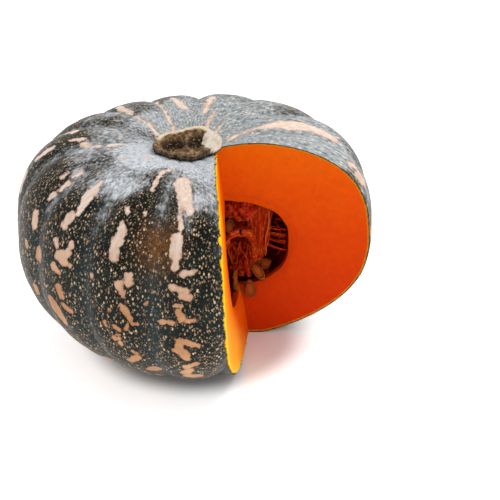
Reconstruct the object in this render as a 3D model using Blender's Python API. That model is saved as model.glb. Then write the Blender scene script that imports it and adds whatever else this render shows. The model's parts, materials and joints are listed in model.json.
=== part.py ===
"""A ribbed squash with a wedge cut out of its front right side, in metres, +Z up.

The stem axis is near the origin, the squash stands on z = 0, and the notch opens towards +X and -Y.
"""

import math
import random

import bmesh
import bpy
from mathutils import Matrix, Vector
from mathutils.bvhtree import BVHTree

# Body: half sizes, roundness and small unevenness of the grown fruit
GIRTH_RADIUS = 0.135
CROWN_HEIGHT = 0.086
BASE_DEPTH = 0.095
CROWN_POWER = 2.85
BASE_POWER = 2.07
DEPTH_RATIO = 0.935
GROUND_TRIM = 0.0065
LEAN_Y = 0.065
SIDE_SLOPE = -0.039
SLOPE_STARTS = -0.080
SLOPE_FULL_AFTER = 0.050
PLAN_OVAL = 0.05
PLAN_TRIANGLE = (-0.019, 0.029)
STEM_DIMPLE = (0.013, 0.038)
BLOSSOM_DIMPLE = (0.012, 0.015)
STEM_END_SHIFT = (-0.008, -0.008)
STEM_END_REACH = 0.060
AXIS_AT = (0.00116, 0.00256)

# Lobes: fifteen crests, with a furrow between each two
LOBES = 15
FIRST_FURROW = math.radians(88)
FURROW_DEPTH = 0.0034
DEEP_FURROWS = (0, 2, 4, 6, 8)
DEEP_SHARE = 1.15
SHALLOW_SHARE = 0.9
FURROW_SHARPNESS = 1.6
FURROW_ONSET = 1.6

# Walls and clearances
RIND_WALL = 0.0018
GAP = 0.0005
AROUND = 60
UPWARDS = 22

# Cut: its left face leans and twists, its right face is the plane y = 0
CUT_X = 0.0264
CUT_LEAN = 0.149
CUT_TURN = 0.05
CUT_TWIST = 0.8
CUT_STEPS = 6
CUT_REACH = 0.2

# Seed cavity: a boxy round hollow
CAVITY_HALF = (0.070, 0.064)
CAVITY_ABOVE = 0.038
CAVITY_BELOW = 0.040
CAVITY_LEVEL = -0.008
CAVITY_POWER = 2.8
CAVITY_AROUND = 30
CAVITY_UPWARDS = 14

# Stem stub: its underside, flaring side and dished top meet at these rises, in degrees
STEM_UNDERSIDE_TO = -20
STEM_SIDE_TO = 30
STEM_NECK = 0.86
STEM_LEAST_SIDE = 0.004
STEM_ANGLES = 0.06
STEM_OVAL = 0.04
STEM_HALF = (0.0245, 0.0175)
STEM_HEIGHT = 0.012
STEM_TILT = (0.09, 0.20)
STEM_DISH = 0.004
STEM_AT = (-0.0075, -0.004)
STEM_CORNERS = 5

# Pulp: a thin uneven lining, with strands and one thick bundle through the hollow
LINING_GAP = 0.0006
LINING_THIN = 0.002
LINING_MORE = 0.0035
STRANDS = 26
STRAND_STEPS = 4
STRAND_RADIUS = (0.0009, 0.0016)
STRAND_HUB = (0.026, 0.017, 0.000)
STRAND_HUB_SPREAD = 0.004
STRAND_SAG = 0.008
STRAND_FAN = (-12, 210)
STRAND_RISES = (-60, 65)
BUNDLE_RADIUS = 0.0028
BUNDLE_ROUTE = ((-0.004, 0.056, 0.009), (0.010, 0.034, 0.009), (0.024, 0.018, 0.004), (0.037, 0.014, -0.003),
                (0.046, 0.016, -0.016), (0.050, 0.019, -0.036))
BUNDLE_TWIST = 1.1

# Seeds: rows along the cavity's wall as (azimuth, rise, how many, which way), and four at its lip
SEED_HALF = (0.0082, 0.0047, 0.0013)
SEED_TAPER = (0.30, 0.12)
SEED_SOCKET = 0.0005
SEED_DEPTH = 0.0078
SEED_STEP = 0.0062
SEED_ROWS = {
    "seeds_floor_right": (0.44, -0.76, 6, 1),
    "seeds_floor_middle": (1.35, -1.00, 5, 1),
    "seeds_floor_left": (2.60, -0.80, 6, 1),
    "seeds_back": (1.00, -0.25, 6, 1),
    "seeds_front": (-2.60, -0.75, 5, 1),
}
ROW_HALF_WIDTH = 0.045
ROW_STEP_UP = 0.0008
LIP_SEEDS = (((0.0405, -0.0026, -0.0472), (-0.15, 0.05, 1), (0, -1, 0.05)),
             ((0.0395, 0.0040, -0.0385), (0.25, -1, -0.12), (0.1, -0.1, 1)),
             ((0.0330, 0.0100, -0.0375), (-0.8, -0.7, 0.05), (-0.1, 0, 1)),
             ((0.0270, 0.0170, -0.0370), (-1, 0.3, -0.10), (0.1, 0.1, 1)))
RANDOM_SEED = 7


def superellipse(angle, half_width, above, below, power_above, power_below):
    """Distance out and height on a boxy oval, and the outward normal there."""
    c, s = math.cos(angle), math.sin(angle)
    half_height = above if s > 0 else below
    power = power_above if s > 0 else power_below
    k = (abs(c) ** power + abs(s) ** power) ** (-1 / power)
    out, up = half_width * k * abs(c), half_height * k * s
    normal = Vector((abs(k * c) ** (power - 1) / half_width,
                     math.copysign(abs(k * s) ** (power - 1), s) / half_height)).normalized()
    return out, up, normal


def furrow(azimuth):
    """How far the skin sinks at this azimuth: deepest in a furrow, none on a crest."""
    turn = (azimuth - FIRST_FURROW) / (2 * math.pi) * LOBES
    nearest = round(turn) % LOBES
    share = DEEP_SHARE if nearest in DEEP_FURROWS else SHALLOW_SHARE
    return FURROW_DEPTH * share * (1 - abs(math.sin(math.pi * turn))) ** FURROW_SHARPNESS


def skin(azimuth, rise, inset=0.0):
    """A point of the skin, moved inwards by inset. rise runs from -90 to 90 degrees, in radians."""
    out, up, normal = superellipse(rise, GIRTH_RADIUS, CROWN_HEIGHT, BASE_DEPTH, CROWN_POWER, BASE_POWER)
    off_pole = min(1, FURROW_ONSET * out / GIRTH_RADIUS)
    inwards = inset + furrow(azimuth) * off_pole
    out = max(0, out - normal[0] * inwards)
    up -= normal[1] * inwards
    depth, width = STEM_DIMPLE if rise > 0 else BLOSSOM_DIMPLE
    up -= math.copysign(depth, rise) * math.exp(-(out / width) ** 2)
    floor = -BASE_DEPTH + GROUND_TRIM + inset
    plan = 1 + PLAN_OVAL * math.sin(2 * azimuth)
    plan += PLAN_TRIANGLE[0] * math.cos(3 * azimuth) + PLAN_TRIANGLE[1] * math.sin(3 * azimuth)
    x = out * math.cos(azimuth) * plan
    y = out * math.sin(azimuth) * plan * DEPTH_RATIO + LEAN_Y * up
    if rise > 0:
        shift = math.exp(-(out / STEM_END_REACH) ** 2)
        x += STEM_END_SHIFT[0] * shift
        y += STEM_END_SHIFT[1] * shift
    above_base = min(1, max(0, (up - SLOPE_STARTS) / SLOPE_FULL_AFTER))
    return Vector((x, y, max(floor, up + SIDE_SLOPE * x * above_base)))


def cavity(azimuth, rise, inset=0.0):
    """A point of the cavity's wall, moved into the cavity by inset."""
    out, up, normal = superellipse(rise, CAVITY_HALF[0], CAVITY_ABOVE, CAVITY_BELOW,
                                   CAVITY_POWER, CAVITY_POWER)
    out = max(0, out - normal[0] * inset)
    up -= normal[1] * inset
    ratio = CAVITY_HALF[1] / CAVITY_HALF[0]
    return Vector((out * math.cos(azimuth), out * math.sin(azimuth) * ratio, CAVITY_LEVEL + up))


def cut_x(y, z):
    """Where the left cut face stands at this depth and height."""
    return CUT_X - CUT_LEAN * z + y * (CUT_TURN - CUT_TWIST * z)


def add_object(name, bm, collection):
    """A mesh object from this bmesh, smooth shaded, in this collection."""
    mesh = bpy.data.meshes.new(name)
    bm.normal_update()
    bm.to_mesh(mesh)
    bm.free()
    mesh.shade_smooth()
    mesh.set_sharp_from_angle(angle=math.radians(40))
    obj = bpy.data.objects.new(name, mesh)
    collection.objects.link(obj)
    return obj


def add_cutter(name, bm):
    obj = add_object(name, bm, cutters)
    obj.hide_render = True
    obj.display_type = "WIRE"
    return obj


def shaped_sphere(around, upwards, place, turned=0.0):
    """A sphere whose points are moved to place(azimuth, rise)."""
    bm = bmesh.new()
    bmesh.ops.create_uvsphere(bm, u_segments=around, v_segments=upwards, radius=1)
    for vert in bm.verts:
        azimuth = math.atan2(vert.co.y, vert.co.x) + turned
        vert.co = place(azimuth, math.asin(max(-1, min(1, vert.co.z))))
    # nested skins split their quads alike, so that the gap between them holds
    bmesh.ops.triangulate(bm, faces=bm.faces, quad_method="FIXED")
    return bm


def add_material(obj, colour, roughness):
    material = bpy.data.materials.new(obj.name)
    material.use_nodes = True
    shader = material.node_tree.nodes["Principled BSDF"]
    shader.inputs["Base Color"].default_value = (*colour, 1)
    shader.inputs["Roughness"].default_value = roughness
    shader.inputs["Metallic"].default_value = 0
    obj.data.materials.append(material)


def boolean(obj, operation, other, solver="EXACT"):
    modifier = obj.modifiers.new(f"{operation} {other.name}".lower(), "BOOLEAN")
    modifier.operation = operation
    modifier.solver = solver
    if isinstance(other, bpy.types.Collection):
        modifier.operand_type = "COLLECTION"
        modifier.collection = other
    else:
        modifier.object = other


def apply_modifiers(obj):
    """Bakes the modifiers into the mesh."""
    graph = bpy.context.evaluated_depsgraph_get()
    mesh = bpy.data.meshes.new_from_object(obj.evaluated_get(graph))
    obj.modifiers.clear()
    obj.data = mesh


def keep_largest_body(obj):
    """Drops the loose scraps that a cut leaves."""
    bm = bmesh.new()
    bm.from_mesh(obj.data)
    unseen = set(bm.verts)
    bodies = []
    while unseen:
        body, edge_of_body = set(), [unseen.pop()]
        while edge_of_body:
            vert = edge_of_body.pop()
            body.add(vert)
            for edge in vert.link_edges:
                other = edge.other_vert(vert)
                if other in unseen:
                    unseen.remove(other)
                    edge_of_body.append(other)
        bodies.append(body)
    largest = max(bodies, key=len)
    scraps = [vert for vert in bm.verts if vert not in largest]
    bmesh.ops.delete(bm, geom=scraps, context="VERTS")
    bm.to_mesh(obj.data)
    bm.free()


def make_wedge():
    """The removed slice: a block whose left side follows cut_x, reaching past the body all round."""
    bm = bmesh.new()
    bmesh.ops.create_cube(bm, size=1)
    bmesh.ops.subdivide_edges(bm, edges=bm.edges, cuts=CUT_STEPS, use_grid_fill=True)
    for vert in bm.verts:
        y = (vert.co.y - 0.5) * CUT_REACH
        z = vert.co.z * 2 * CUT_REACH
        left = cut_x(y, z)
        vert.co = Vector((left + (vert.co.x + 0.5) * (CUT_REACH - left), y, z))
    return add_cutter("wedge", bm)


def make_rind(wedge):
    rind = add_object("rind", shaped_sphere(AROUND, UPWARDS, skin, FIRST_FURROW), squash)
    inside = shaped_sphere(AROUND, UPWARDS, lambda a, t: skin(a, t, RIND_WALL), FIRST_FURROW)
    boolean(rind, "DIFFERENCE", add_cutter("rind inside", inside))
    boolean(rind, "DIFFERENCE", wedge)
    add_material(rind, (0.035, 0.055, 0.035), 0.45)
    return rind


def make_flesh(wedge):
    body = shaped_sphere(AROUND, UPWARDS, lambda a, t: skin(a, t, RIND_WALL + GAP), FIRST_FURROW)
    flesh = add_object("flesh", body, squash)
    hollow = add_cutter("seed cavity", shaped_sphere(CAVITY_AROUND, CAVITY_UPWARDS, cavity))
    boolean(flesh, "DIFFERENCE", hollow)
    boolean(flesh, "DIFFERENCE", wedge)
    add_material(flesh, (0.85, 0.28, 0.02), 0.5)


def make_stem(rind):
    """A squat five-cornered stub that flares up to its broken, dished top and sits on the rind."""
    bm = bmesh.new()
    bm.from_mesh(rind.data)
    surface = BVHTree.FromBMesh(bm)
    bm.free()
    down = Vector((0, 0, -1))
    top = surface.ray_cast(Vector((*STEM_AT, CROWN_HEIGHT * 2)), down)[0].z + STEM_HEIGHT
    side = STEM_SIDE_TO - STEM_UNDERSIDE_TO

    def place(azimuth, rise):
        degrees = math.degrees(rise)
        above_underside = degrees - STEM_UNDERSIDE_TO
        if above_underside < 0:
            width = STEM_NECK * (90 + degrees) / (90 + STEM_UNDERSIDE_TO)
        elif degrees < STEM_SIDE_TO:
            width = STEM_NECK + (1 - STEM_NECK) * math.sin(math.pi / 2 * above_underside / side)
        else:
            width = (90 - degrees) / (90 - STEM_SIDE_TO)
        corners = 1 + STEM_ANGLES * math.cos(STEM_CORNERS * azimuth + 0.6)
        corners += STEM_OVAL * math.sin(2 * azimuth + 1)
        x = STEM_AT[0] + STEM_HALF[0] * width * corners * math.cos(azimuth)
        y = STEM_AT[1] + STEM_HALF[1] * width * corners * math.sin(azimuth)
        low = surface.ray_cast(Vector((x, y, CROWN_HEIGHT * 2)), down)[0]
        rest = (low.z if low else top - STEM_HEIGHT) + GAP
        if above_underside < 0:
            return Vector((x, y, rest))
        lift = min(1, above_underside / (0.9 * side))
        dish = STEM_DISH * max(0, (degrees - STEM_SIDE_TO) / (90 - STEM_SIDE_TO))
        tilt = STEM_TILT[0] * (x - STEM_AT[0]) + STEM_TILT[1] * (y - STEM_AT[1])
        raised = rest + (top + tilt - rest) * lift - dish
        return Vector((x, y, max(rest + STEM_LEAST_SIDE * lift, raised)))

    stem = add_object("stem", shaped_sphere(30, 14, place), squash)
    add_material(stem, (0.16, 0.13, 0.08), 0.85)


def seed_mesh(extra):
    """A flat seed, round at one end and pointed at the other, larger all round by extra."""
    bm = bmesh.new()
    bmesh.ops.create_uvsphere(bm, u_segments=8, v_segments=4, radius=1,
                              matrix=Matrix.Rotation(math.pi / 2, 4, "Y"))
    half = [size + extra for size in SEED_HALF]
    for vert in bm.verts:
        x, y, z = vert.co
        taper = 1.05 * (1 - SEED_TAPER[0] * x - SEED_TAPER[1] * x * x)
        vert.co = Vector((x * half[0], y * half[1] * taper, z * half[2]))
    return bm


def seed_frames(azimuth, rise, count, turn, rng):
    """Places for a shingled double row of seeds along the cavity's wall, as matrices."""
    frames = []
    for number in range(count):
        side = 1 if number % 2 else -1
        along = azimuth + turn * SEED_STEP * number / CAVITY_HALF[0]
        up = rise + ROW_HALF_WIDTH * side
        depth = SEED_DEPTH + ROW_STEP_UP * side / 2
        at = cavity(along, up, depth)
        inwards = (cavity(along, up, depth + SEED_HALF[2]) - at).normalized()
        heading = Vector((-math.sin(along), math.cos(along), 0)) * turn
        rowwards = heading.cross(inwards).normalized() * side
        point = (rowwards + heading * rng.uniform(-0.5, 0.5)).normalized()
        point = (point - inwards * point.dot(inwards)).normalized()
        across = inwards.cross(point)
        turned = Matrix((point, across, inwards)).transposed().to_4x4()
        tip = Matrix.Rotation(rng.uniform(0.05, 0.18), 4, "Y") @ Matrix.Rotation(
            rng.uniform(-0.15, 0.15), 4, "X")
        frames.append(Matrix.Translation(at) @ turned @ tip)
    return frames


def facing(at, point, flat):
    """A seed's place from its middle, where its tip points and where its flat side faces."""
    point = Vector(point).normalized()
    across = Vector(flat).cross(point).normalized()
    turned = Matrix((point, across, point.cross(across))).transposed().to_4x4()
    return Matrix.Translation(at) @ turned


def make_seeds():
    """The seed clusters, and the same seeds a little larger, which press sockets in the pulp."""
    rng = random.Random(RANDOM_SEED)
    places = {name: seed_frames(*row, rng) for name, row in SEED_ROWS.items()}
    places["seeds_lip"] = [facing(*seed) for seed in LIP_SEEDS]
    sockets = bpy.data.collections.new("seed sockets")
    cutters.children.link(sockets)
    for name, frames in places.items():
        others = bpy.data.collections.new(name)
        cutters.children.link(others)
        first = None
        for number, frame in enumerate(frames):
            bm = seed_mesh(0)
            bm.transform(frame)
            if number == 0:
                first = add_object(name, bm, squash)
            else:
                add_object(f"{name} {number}", bm, others)
            bm = seed_mesh(SEED_SOCKET)
            bm.transform(frame)
            socket = add_object(f"socket {name} {number}", bm, sockets)
            socket.hide_render = True
            socket.display_type = "WIRE"
        boolean(first, "UNION", others)
        apply_modifiers(first)
        for other in list(others.objects):
            bpy.data.objects.remove(other)
        bpy.data.collections.remove(others)
        add_material(first, (0.72, 0.52, 0.30), 0.4)
    return sockets


def strand_tube(name, points, radius):
    """A round strand through these points, as a closed mesh."""
    curve = bpy.data.curves.new(name, "CURVE")
    curve.dimensions = "3D"
    curve.bevel_depth = radius
    curve.bevel_resolution = 0
    curve.use_fill_caps = True
    spline = curve.splines.new("POLY")
    spline.points.add(len(points) - 1)
    for point, co in zip(spline.points, points):
        point.co = (*co, 1)
    guide = bpy.data.objects.new(f"{name} guide", curve)
    cutters.objects.link(guide)
    graph = bpy.context.evaluated_depsgraph_get()
    mesh = bpy.data.meshes.new_from_object(guide.evaluated_get(graph))
    bm = bmesh.new()
    bm.from_mesh(mesh)
    bmesh.ops.remove_doubles(bm, verts=bm.verts, dist=1e-6)
    bmesh.ops.recalc_face_normals(bm, faces=bm.faces)
    bpy.data.objects.remove(guide)
    bpy.data.meshes.remove(mesh)
    return bm


def random_offset(rng, most):
    return Vector([rng.uniform(-most, most) for _ in "xyz"])


def make_pulp(wedge, sockets):
    """The stringy lining of the cavity, with strands that run through it."""
    rng = random.Random(RANDOM_SEED + 1)

    def inner(azimuth, rise):
        lumps = 0.5 + 0.25 * math.sin(5 * azimuth + 2 * rise) + 0.25 * math.sin(3 * azimuth - 4 * rise + 1)
        return cavity(azimuth, rise, LINING_GAP + LINING_THIN + LINING_MORE * lumps)

    outer = shaped_sphere(CAVITY_AROUND, CAVITY_UPWARDS, lambda a, t: cavity(a, t, LINING_GAP))
    pulp = add_object("pulp", outer, squash)
    hollow = add_cutter("pulp hollow", shaped_sphere(CAVITY_AROUND, CAVITY_UPWARDS, inner))
    strands = bpy.data.collections.new("strands")
    cutters.children.link(strands)
    for twist in range(3):
        points = []
        for number, place in enumerate(BUNDLE_ROUTE):
            turn = 2 * math.pi * twist / 3 + BUNDLE_TWIST * number
            aside = Vector((0, math.cos(turn), math.sin(turn))) * BUNDLE_RADIUS * 0.9
            points.append(Vector(place) + aside)
        add_object(f"bundle {twist}", strand_tube(f"bundle {twist}", points, BUNDLE_RADIUS), strands)
    for number in range(STRANDS):
        # the golden ratio spreads the strands evenly round the fan
        azimuth = math.radians(STRAND_FAN[0] + STRAND_FAN[1] * (number * 0.618 % 1))
        rise = math.radians(rng.uniform(*STRAND_RISES))
        end = cavity(azimuth, rise)
        start = Vector(STRAND_HUB) + random_offset(rng, STRAND_HUB_SPREAD)
        middle = (start + end) / 2 + random_offset(rng, STRAND_SAG)
        points = []
        for step in range(STRAND_STEPS + 1):
            t = step / STRAND_STEPS
            points.append(start * (1 - t) ** 2 + middle * 2 * t * (1 - t) + end * t ** 2)
        radius = rng.uniform(*STRAND_RADIUS)
        add_object(f"strand {number}", strand_tube(f"strand {number}", points, radius), strands)
    boolean(hollow, "DIFFERENCE", strands)
    boolean(pulp, "DIFFERENCE", hollow)
    boolean(pulp, "DIFFERENCE", sockets)
    boolean(pulp, "DIFFERENCE", wedge)
    apply_modifiers(pulp)
    hollow.modifiers.clear()
    for strand in list(strands.objects):
        bpy.data.objects.remove(strand)
    bpy.data.collections.remove(strands)
    keep_largest_body(pulp)
    add_material(pulp, (0.62, 0.12, 0.02), 0.55)


def stand_on_floor():
    """Lifts every object so that the squash stands on z = 0, over the middle of its outline."""
    lift = Matrix.Translation((AXIS_AT[0], AXIS_AT[1], BASE_DEPTH - GROUND_TRIM))
    for obj in bpy.data.objects:
        obj.data.transform(lift)


for old in list(bpy.data.objects):
    bpy.data.objects.remove(old)
squash = bpy.data.collections.new("kabocha squash")
cutters = bpy.data.collections.new("cutters")
bpy.context.scene.collection.children.link(squash)
bpy.context.scene.collection.children.link(cutters)
cutters.hide_render = True

wedge_cutter = make_wedge()
rind_shell = make_rind(wedge_cutter)
make_flesh(wedge_cutter)
make_stem(rind_shell)
seed_sockets = make_seeds()
make_pulp(wedge_cutter, seed_sockets)
stand_on_floor()
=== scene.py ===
import json
import math
import random

import bmesh
import bpy
import numpy as np
from mathutils import Matrix, Vector, noise
from mathutils.bvhtree import BVHTree
from mathutils.kdtree import KDTree

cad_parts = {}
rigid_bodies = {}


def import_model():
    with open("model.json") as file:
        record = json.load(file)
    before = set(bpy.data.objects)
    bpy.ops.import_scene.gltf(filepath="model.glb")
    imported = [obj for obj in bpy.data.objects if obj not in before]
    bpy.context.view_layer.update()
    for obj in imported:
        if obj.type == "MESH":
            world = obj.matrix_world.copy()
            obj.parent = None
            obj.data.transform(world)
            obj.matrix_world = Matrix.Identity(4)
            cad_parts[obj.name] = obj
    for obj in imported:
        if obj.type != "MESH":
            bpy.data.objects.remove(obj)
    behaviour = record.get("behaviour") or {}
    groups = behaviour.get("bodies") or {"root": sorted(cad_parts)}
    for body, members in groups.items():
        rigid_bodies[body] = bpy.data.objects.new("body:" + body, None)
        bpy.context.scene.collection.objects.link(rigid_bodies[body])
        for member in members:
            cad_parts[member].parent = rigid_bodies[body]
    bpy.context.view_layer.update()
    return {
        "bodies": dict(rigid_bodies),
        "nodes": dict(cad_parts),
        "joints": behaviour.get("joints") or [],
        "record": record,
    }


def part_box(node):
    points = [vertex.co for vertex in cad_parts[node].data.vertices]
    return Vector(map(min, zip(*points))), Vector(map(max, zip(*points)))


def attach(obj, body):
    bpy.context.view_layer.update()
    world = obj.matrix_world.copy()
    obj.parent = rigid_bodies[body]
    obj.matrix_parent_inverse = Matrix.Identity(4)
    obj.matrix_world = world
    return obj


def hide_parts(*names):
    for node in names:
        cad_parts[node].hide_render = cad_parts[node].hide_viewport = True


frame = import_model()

# Shapes shared by the pieces, in metres, measured from the middle of the fruit.
squash = {
    "girthRadius": 0.135, "crownHeight": 0.086, "baseDepth": 0.095, "crownPower": 2.85, "basePower": 2.07,
    "depthRatio": 0.935, "groundTrim": 0.0065, "leanY": 0.065,
    "sideSlope": -0.039, "slopeStarts": -0.080, "slopeFullAfter": 0.050,
    "planOval": 0.05, "planTriangle": (-0.019, 0.029),
    "stemDimple": (0.013, 0.038), "blossomDimple": (0.012, 0.015),
    "stemEndShift": (-0.008, -0.008), "stemEndReach": 0.060,
    "lobes": 15, "firstFurrow": math.radians(88), "furrowDepth": 0.0034, "furrowSharpness": 1.6,
    "deepFurrows": (0, 2, 4, 6, 8), "deepShare": 1.15, "shallowShare": 0.9, "furrowOnset": 1.6,
    "cutX": 0.0264, "cutLean": 0.149, "cutTurn": 0.05, "cutTwist": 0.8,
    "cavityHalf": (0.070, 0.064), "cavityAbove": 0.038, "cavityBelow": 0.040, "cavityLevel": -0.008,
    "cavityPower": 2.8,
    "axisAt": (0.00116, 0.00256),
}
middle = np.array((*squash["axisAt"], squash["baseDepth"] - squash["groundTrim"]))     # where it stands
mm = 0.001


# Small helpers

def hexColour(text):
    # "#rrggbb" as the linear values that a socket takes
    parts = [int(text[i:i + 2], 16) / 255 for i in (1, 3, 5)]
    return tuple(c / 12.92 if c <= 0.04045 else ((c + 0.055) / 1.055) ** 2.4 for c in parts) + (1.0,)


def addNode(tree, kind, settings={}, links={}):
    # settings: the node's own properties, or values on its sockets
    # links: what each socket takes, an output or a node, which stands for its first output in use
    node = tree.nodes.new(kind)
    for key, value in settings.items():
        if key == "stops":      # a colour ramp's stops: (place, hex colour) pairs
            ramp = node.color_ramp
            while len(ramp.elements) < len(value):
                ramp.elements.new(1)
            for element, (place, colour) in zip(ramp.elements, value):
                element.position = place
                element.color = hexColour(colour)
        elif type(key) is str and hasattr(node, key):
            setattr(node, key, value)
    for key, value in settings.items():
        if key != "stops" and (type(key) is int or not hasattr(node, key)):
            node.inputs[key].default_value = value
    for key, source in links.items():
        if isinstance(source, bpy.types.Node):
            source = next(output for output in source.outputs if output.enabled)
        tree.links.new(source, node.inputs[key])
    return node


def newTree(name, **inputs):
    # a Geometry Nodes tree with geometry in and out, and the named inputs
    tree = bpy.data.node_groups.new(name, "GeometryNodeTree")
    tree.interface.new_socket("Geometry", in_out="INPUT", socket_type="NodeSocketGeometry")
    for key, kind in inputs.items():
        tree.interface.new_socket(key, in_out="INPUT", socket_type="NodeSocket" + kind)
    tree.interface.new_socket("Geometry", in_out="OUTPUT", socket_type="NodeSocketGeometry")
    return tree


def newMaterial(name, roughness, ior, **settings):
    material = bpy.data.materials.new(name)
    material.use_nodes = True
    tree = material.node_tree
    shader = tree.nodes["Principled BSDF"]
    shader.inputs["Roughness"].default_value = roughness
    shader.inputs["IOR"].default_value = ior
    for key, value in settings.items():
        shader.inputs[key.replace("_", " ")].default_value = value
    return material, tree, shader


def superellipse(rise, halfWidth, above, below, powerAbove, powerBelow):
    c, s = np.cos(rise), np.sin(rise)
    height = np.where(s > 0, above, below)
    power = np.where(s > 0, powerAbove, powerBelow)
    k = (np.abs(c) ** power + np.abs(s) ** power) ** (-1 / power)
    normalOut = np.abs(k * c) ** (power - 1) / halfWidth
    normalUp = np.sign(s) * np.abs(k * s) ** (power - 1) / height
    length = np.hypot(normalOut, normalUp)
    return halfWidth * k * np.abs(c), height * k * s, normalOut / length, normalUp / length


def furrowTurn(azimuth):
    return (azimuth - squash["firstFurrow"]) / (2 * math.pi) * squash["lobes"]


def skinPoint(azimuth, rise, inset=0.0):
    q = squash
    out, up, normalOut, normalUp = superellipse(
        rise, q["girthRadius"], q["crownHeight"], q["baseDepth"], q["crownPower"], q["basePower"])
    turn = furrowTurn(azimuth)
    isDeep = np.isin(np.round(turn).astype(int) % q["lobes"], q["deepFurrows"])
    share = np.where(isDeep, q["deepShare"], q["shallowShare"])
    sunk = q["furrowDepth"] * share * (1 - np.abs(np.sin(math.pi * turn))) ** q["furrowSharpness"]
    inwards = inset + sunk * np.minimum(1, q["furrowOnset"] * out / q["girthRadius"])
    out = np.maximum(0, out - normalOut * inwards)
    up = up - normalUp * inwards
    dimple = np.where(rise > 0, q["stemDimple"][0], q["blossomDimple"][0])
    width = np.where(rise > 0, q["stemDimple"][1], q["blossomDimple"][1])
    up = up - np.sign(rise) * dimple * np.exp(-(out / width) ** 2)
    oval, (cosine, sine) = q["planOval"], q["planTriangle"]
    plan = 1 + oval * np.sin(2 * azimuth) + cosine * np.cos(3 * azimuth) + sine * np.sin(3 * azimuth)
    x = out * np.cos(azimuth) * plan
    y = out * np.sin(azimuth) * plan * q["depthRatio"] + q["leanY"] * up
    shift = np.where(rise > 0, np.exp(-(out / q["stemEndReach"]) ** 2), 0)
    x = x + q["stemEndShift"][0] * shift
    y = y + q["stemEndShift"][1] * shift
    aboveBase = np.clip((up - q["slopeStarts"]) / q["slopeFullAfter"], 0, 1)
    floor = -q["baseDepth"] + q["groundTrim"] + inset
    return np.stack((x, y, np.maximum(floor, up + q["sideSlope"] * x * aboveBase)), -1)


def cavityPoint(azimuth, rise, inset=0.0):
    q = squash
    out, up, normalOut, normalUp = superellipse(
        rise, q["cavityHalf"][0], q["cavityAbove"], q["cavityBelow"], q["cavityPower"], q["cavityPower"])
    out = np.maximum(0, out - normalOut * inset)
    up = up - normalUp * inset
    x = out * np.cos(azimuth)
    y = out * np.sin(azimuth) * q["cavityHalf"][1] / q["cavityHalf"][0]
    return np.stack(np.broadcast_arrays(x, y, q["cavityLevel"] + up), -1)


def cutX(y, z):
    q = squash
    return q["cutX"] - q["cutLean"] * z + y * (q["cutTurn"] - q["cutTwist"] * z)


def smoothStep(low, high, value):
    t = np.clip((value - low) / (high - low), 0, 1)
    return t * t * (3 - 2 * t)


def noiseAt(points, size, seed=0.0, stretch=(1, 1, 1)):
    scale = np.array(stretch) / size
    shift = np.array((seed * 17.3, seed * 7.1, seed * 3.7))
    return np.array([noise.noise(p) for p in points * scale + shift])


def sphereGrid(around, upwards, turned=0.0):
    # azimuth and rise of a grid of rings, with one point at each pole, and its faces
    rings = np.linspace(-math.pi / 2, math.pi / 2, upwards + 1)[1:-1]
    steps = np.arange(around) / around * 2 * math.pi + turned
    azimuth = np.concatenate((np.tile(steps, len(rings)), (turned, turned)))
    rise = np.concatenate((np.repeat(rings, around), (-math.pi / 2, math.pi / 2)))
    low, high = len(azimuth) - 2, len(azimuth) - 1
    faces = []
    for ring in range(len(rings) - 1):
        a = ring * around
        for i in range(around):
            j = (i + 1) % around
            faces.append((a + i, a + j, a + around + j, a + around + i))
    last = (len(rings) - 1) * around
    for i in range(around):
        j = (i + 1) % around
        faces.append((low, j, i))
        faces.append((high, last + i, last + j))
    return azimuth, rise, faces


def addPiece(name, points, faces):
    mesh = bpy.data.meshes.new(name)
    mesh.from_pydata(points, [], faces)
    mesh.update()
    piece = bpy.data.objects.new(name, mesh)
    bpy.context.scene.collection.objects.link(piece)
    return piece


def facesOutwards(piece):
    bm = bmesh.new()
    bm.from_mesh(piece.data)
    bmesh.ops.recalc_face_normals(bm, faces=bm.faces)
    bm.to_mesh(piece.data)
    bm.free()


def bakeModifiers(piece):
    graph = bpy.context.evaluated_depsgraph_get()
    mesh = bpy.data.meshes.new_from_object(piece.evaluated_get(graph))
    piece.modifiers.clear()
    piece.data = mesh
    mesh.name = piece.name


def cutAway(piece, *cutters):
    for cutter in cutters:
        modifier = piece.modifiers.new("cut", "BOOLEAN")
        modifier.operation = "DIFFERENCE"
        modifier.solver = "MANIFOLD"
        modifier.object = cutter
    bakeModifiers(piece)


def dropScraps(piece, smallest):
    # removes the loose bits that a cut leaves
    bm = bmesh.new()
    bm.from_mesh(piece.data)
    unseen = set(bm.verts)
    scraps = []
    while unseen:
        edge = [unseen.pop()]
        island = [edge[0]]
        while edge:
            for link in edge.pop().link_edges:
                for vert in link.verts:
                    if vert in unseen:
                        unseen.remove(vert)
                        island.append(vert)
                        edge.append(vert)
        if len(island) < smallest:
            scraps += island
    bmesh.ops.delete(bm, geom=scraps, context="VERTS")
    bm.to_mesh(piece.data)
    bm.free()


def pointsOf(piece):
    points = np.empty(len(piece.data.vertices) * 3, np.float32)
    piece.data.vertices.foreach_get("co", points)
    return points.reshape(-1, 3).astype(float)


def movePoints(piece, points):
    piece.data.vertices.foreach_set("co", points.astype(np.float32).ravel())
    piece.data.update()


def storeAttribute(piece, name, values):
    kind, field = ("FLOAT_VECTOR", "vector") if values.ndim == 2 else ("FLOAT", "value")
    attribute = piece.data.attributes.new(name, kind, "POINT")
    attribute.data.foreach_set(field, values.astype(np.float32).ravel())


def surfaceOf(points, faces):
    return BVHTree.FromPolygons([tuple(p) for p in points], faces)


def distanceTo(surface, points):
    return np.array([surface.find_nearest(p)[3] for p in points])


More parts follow.
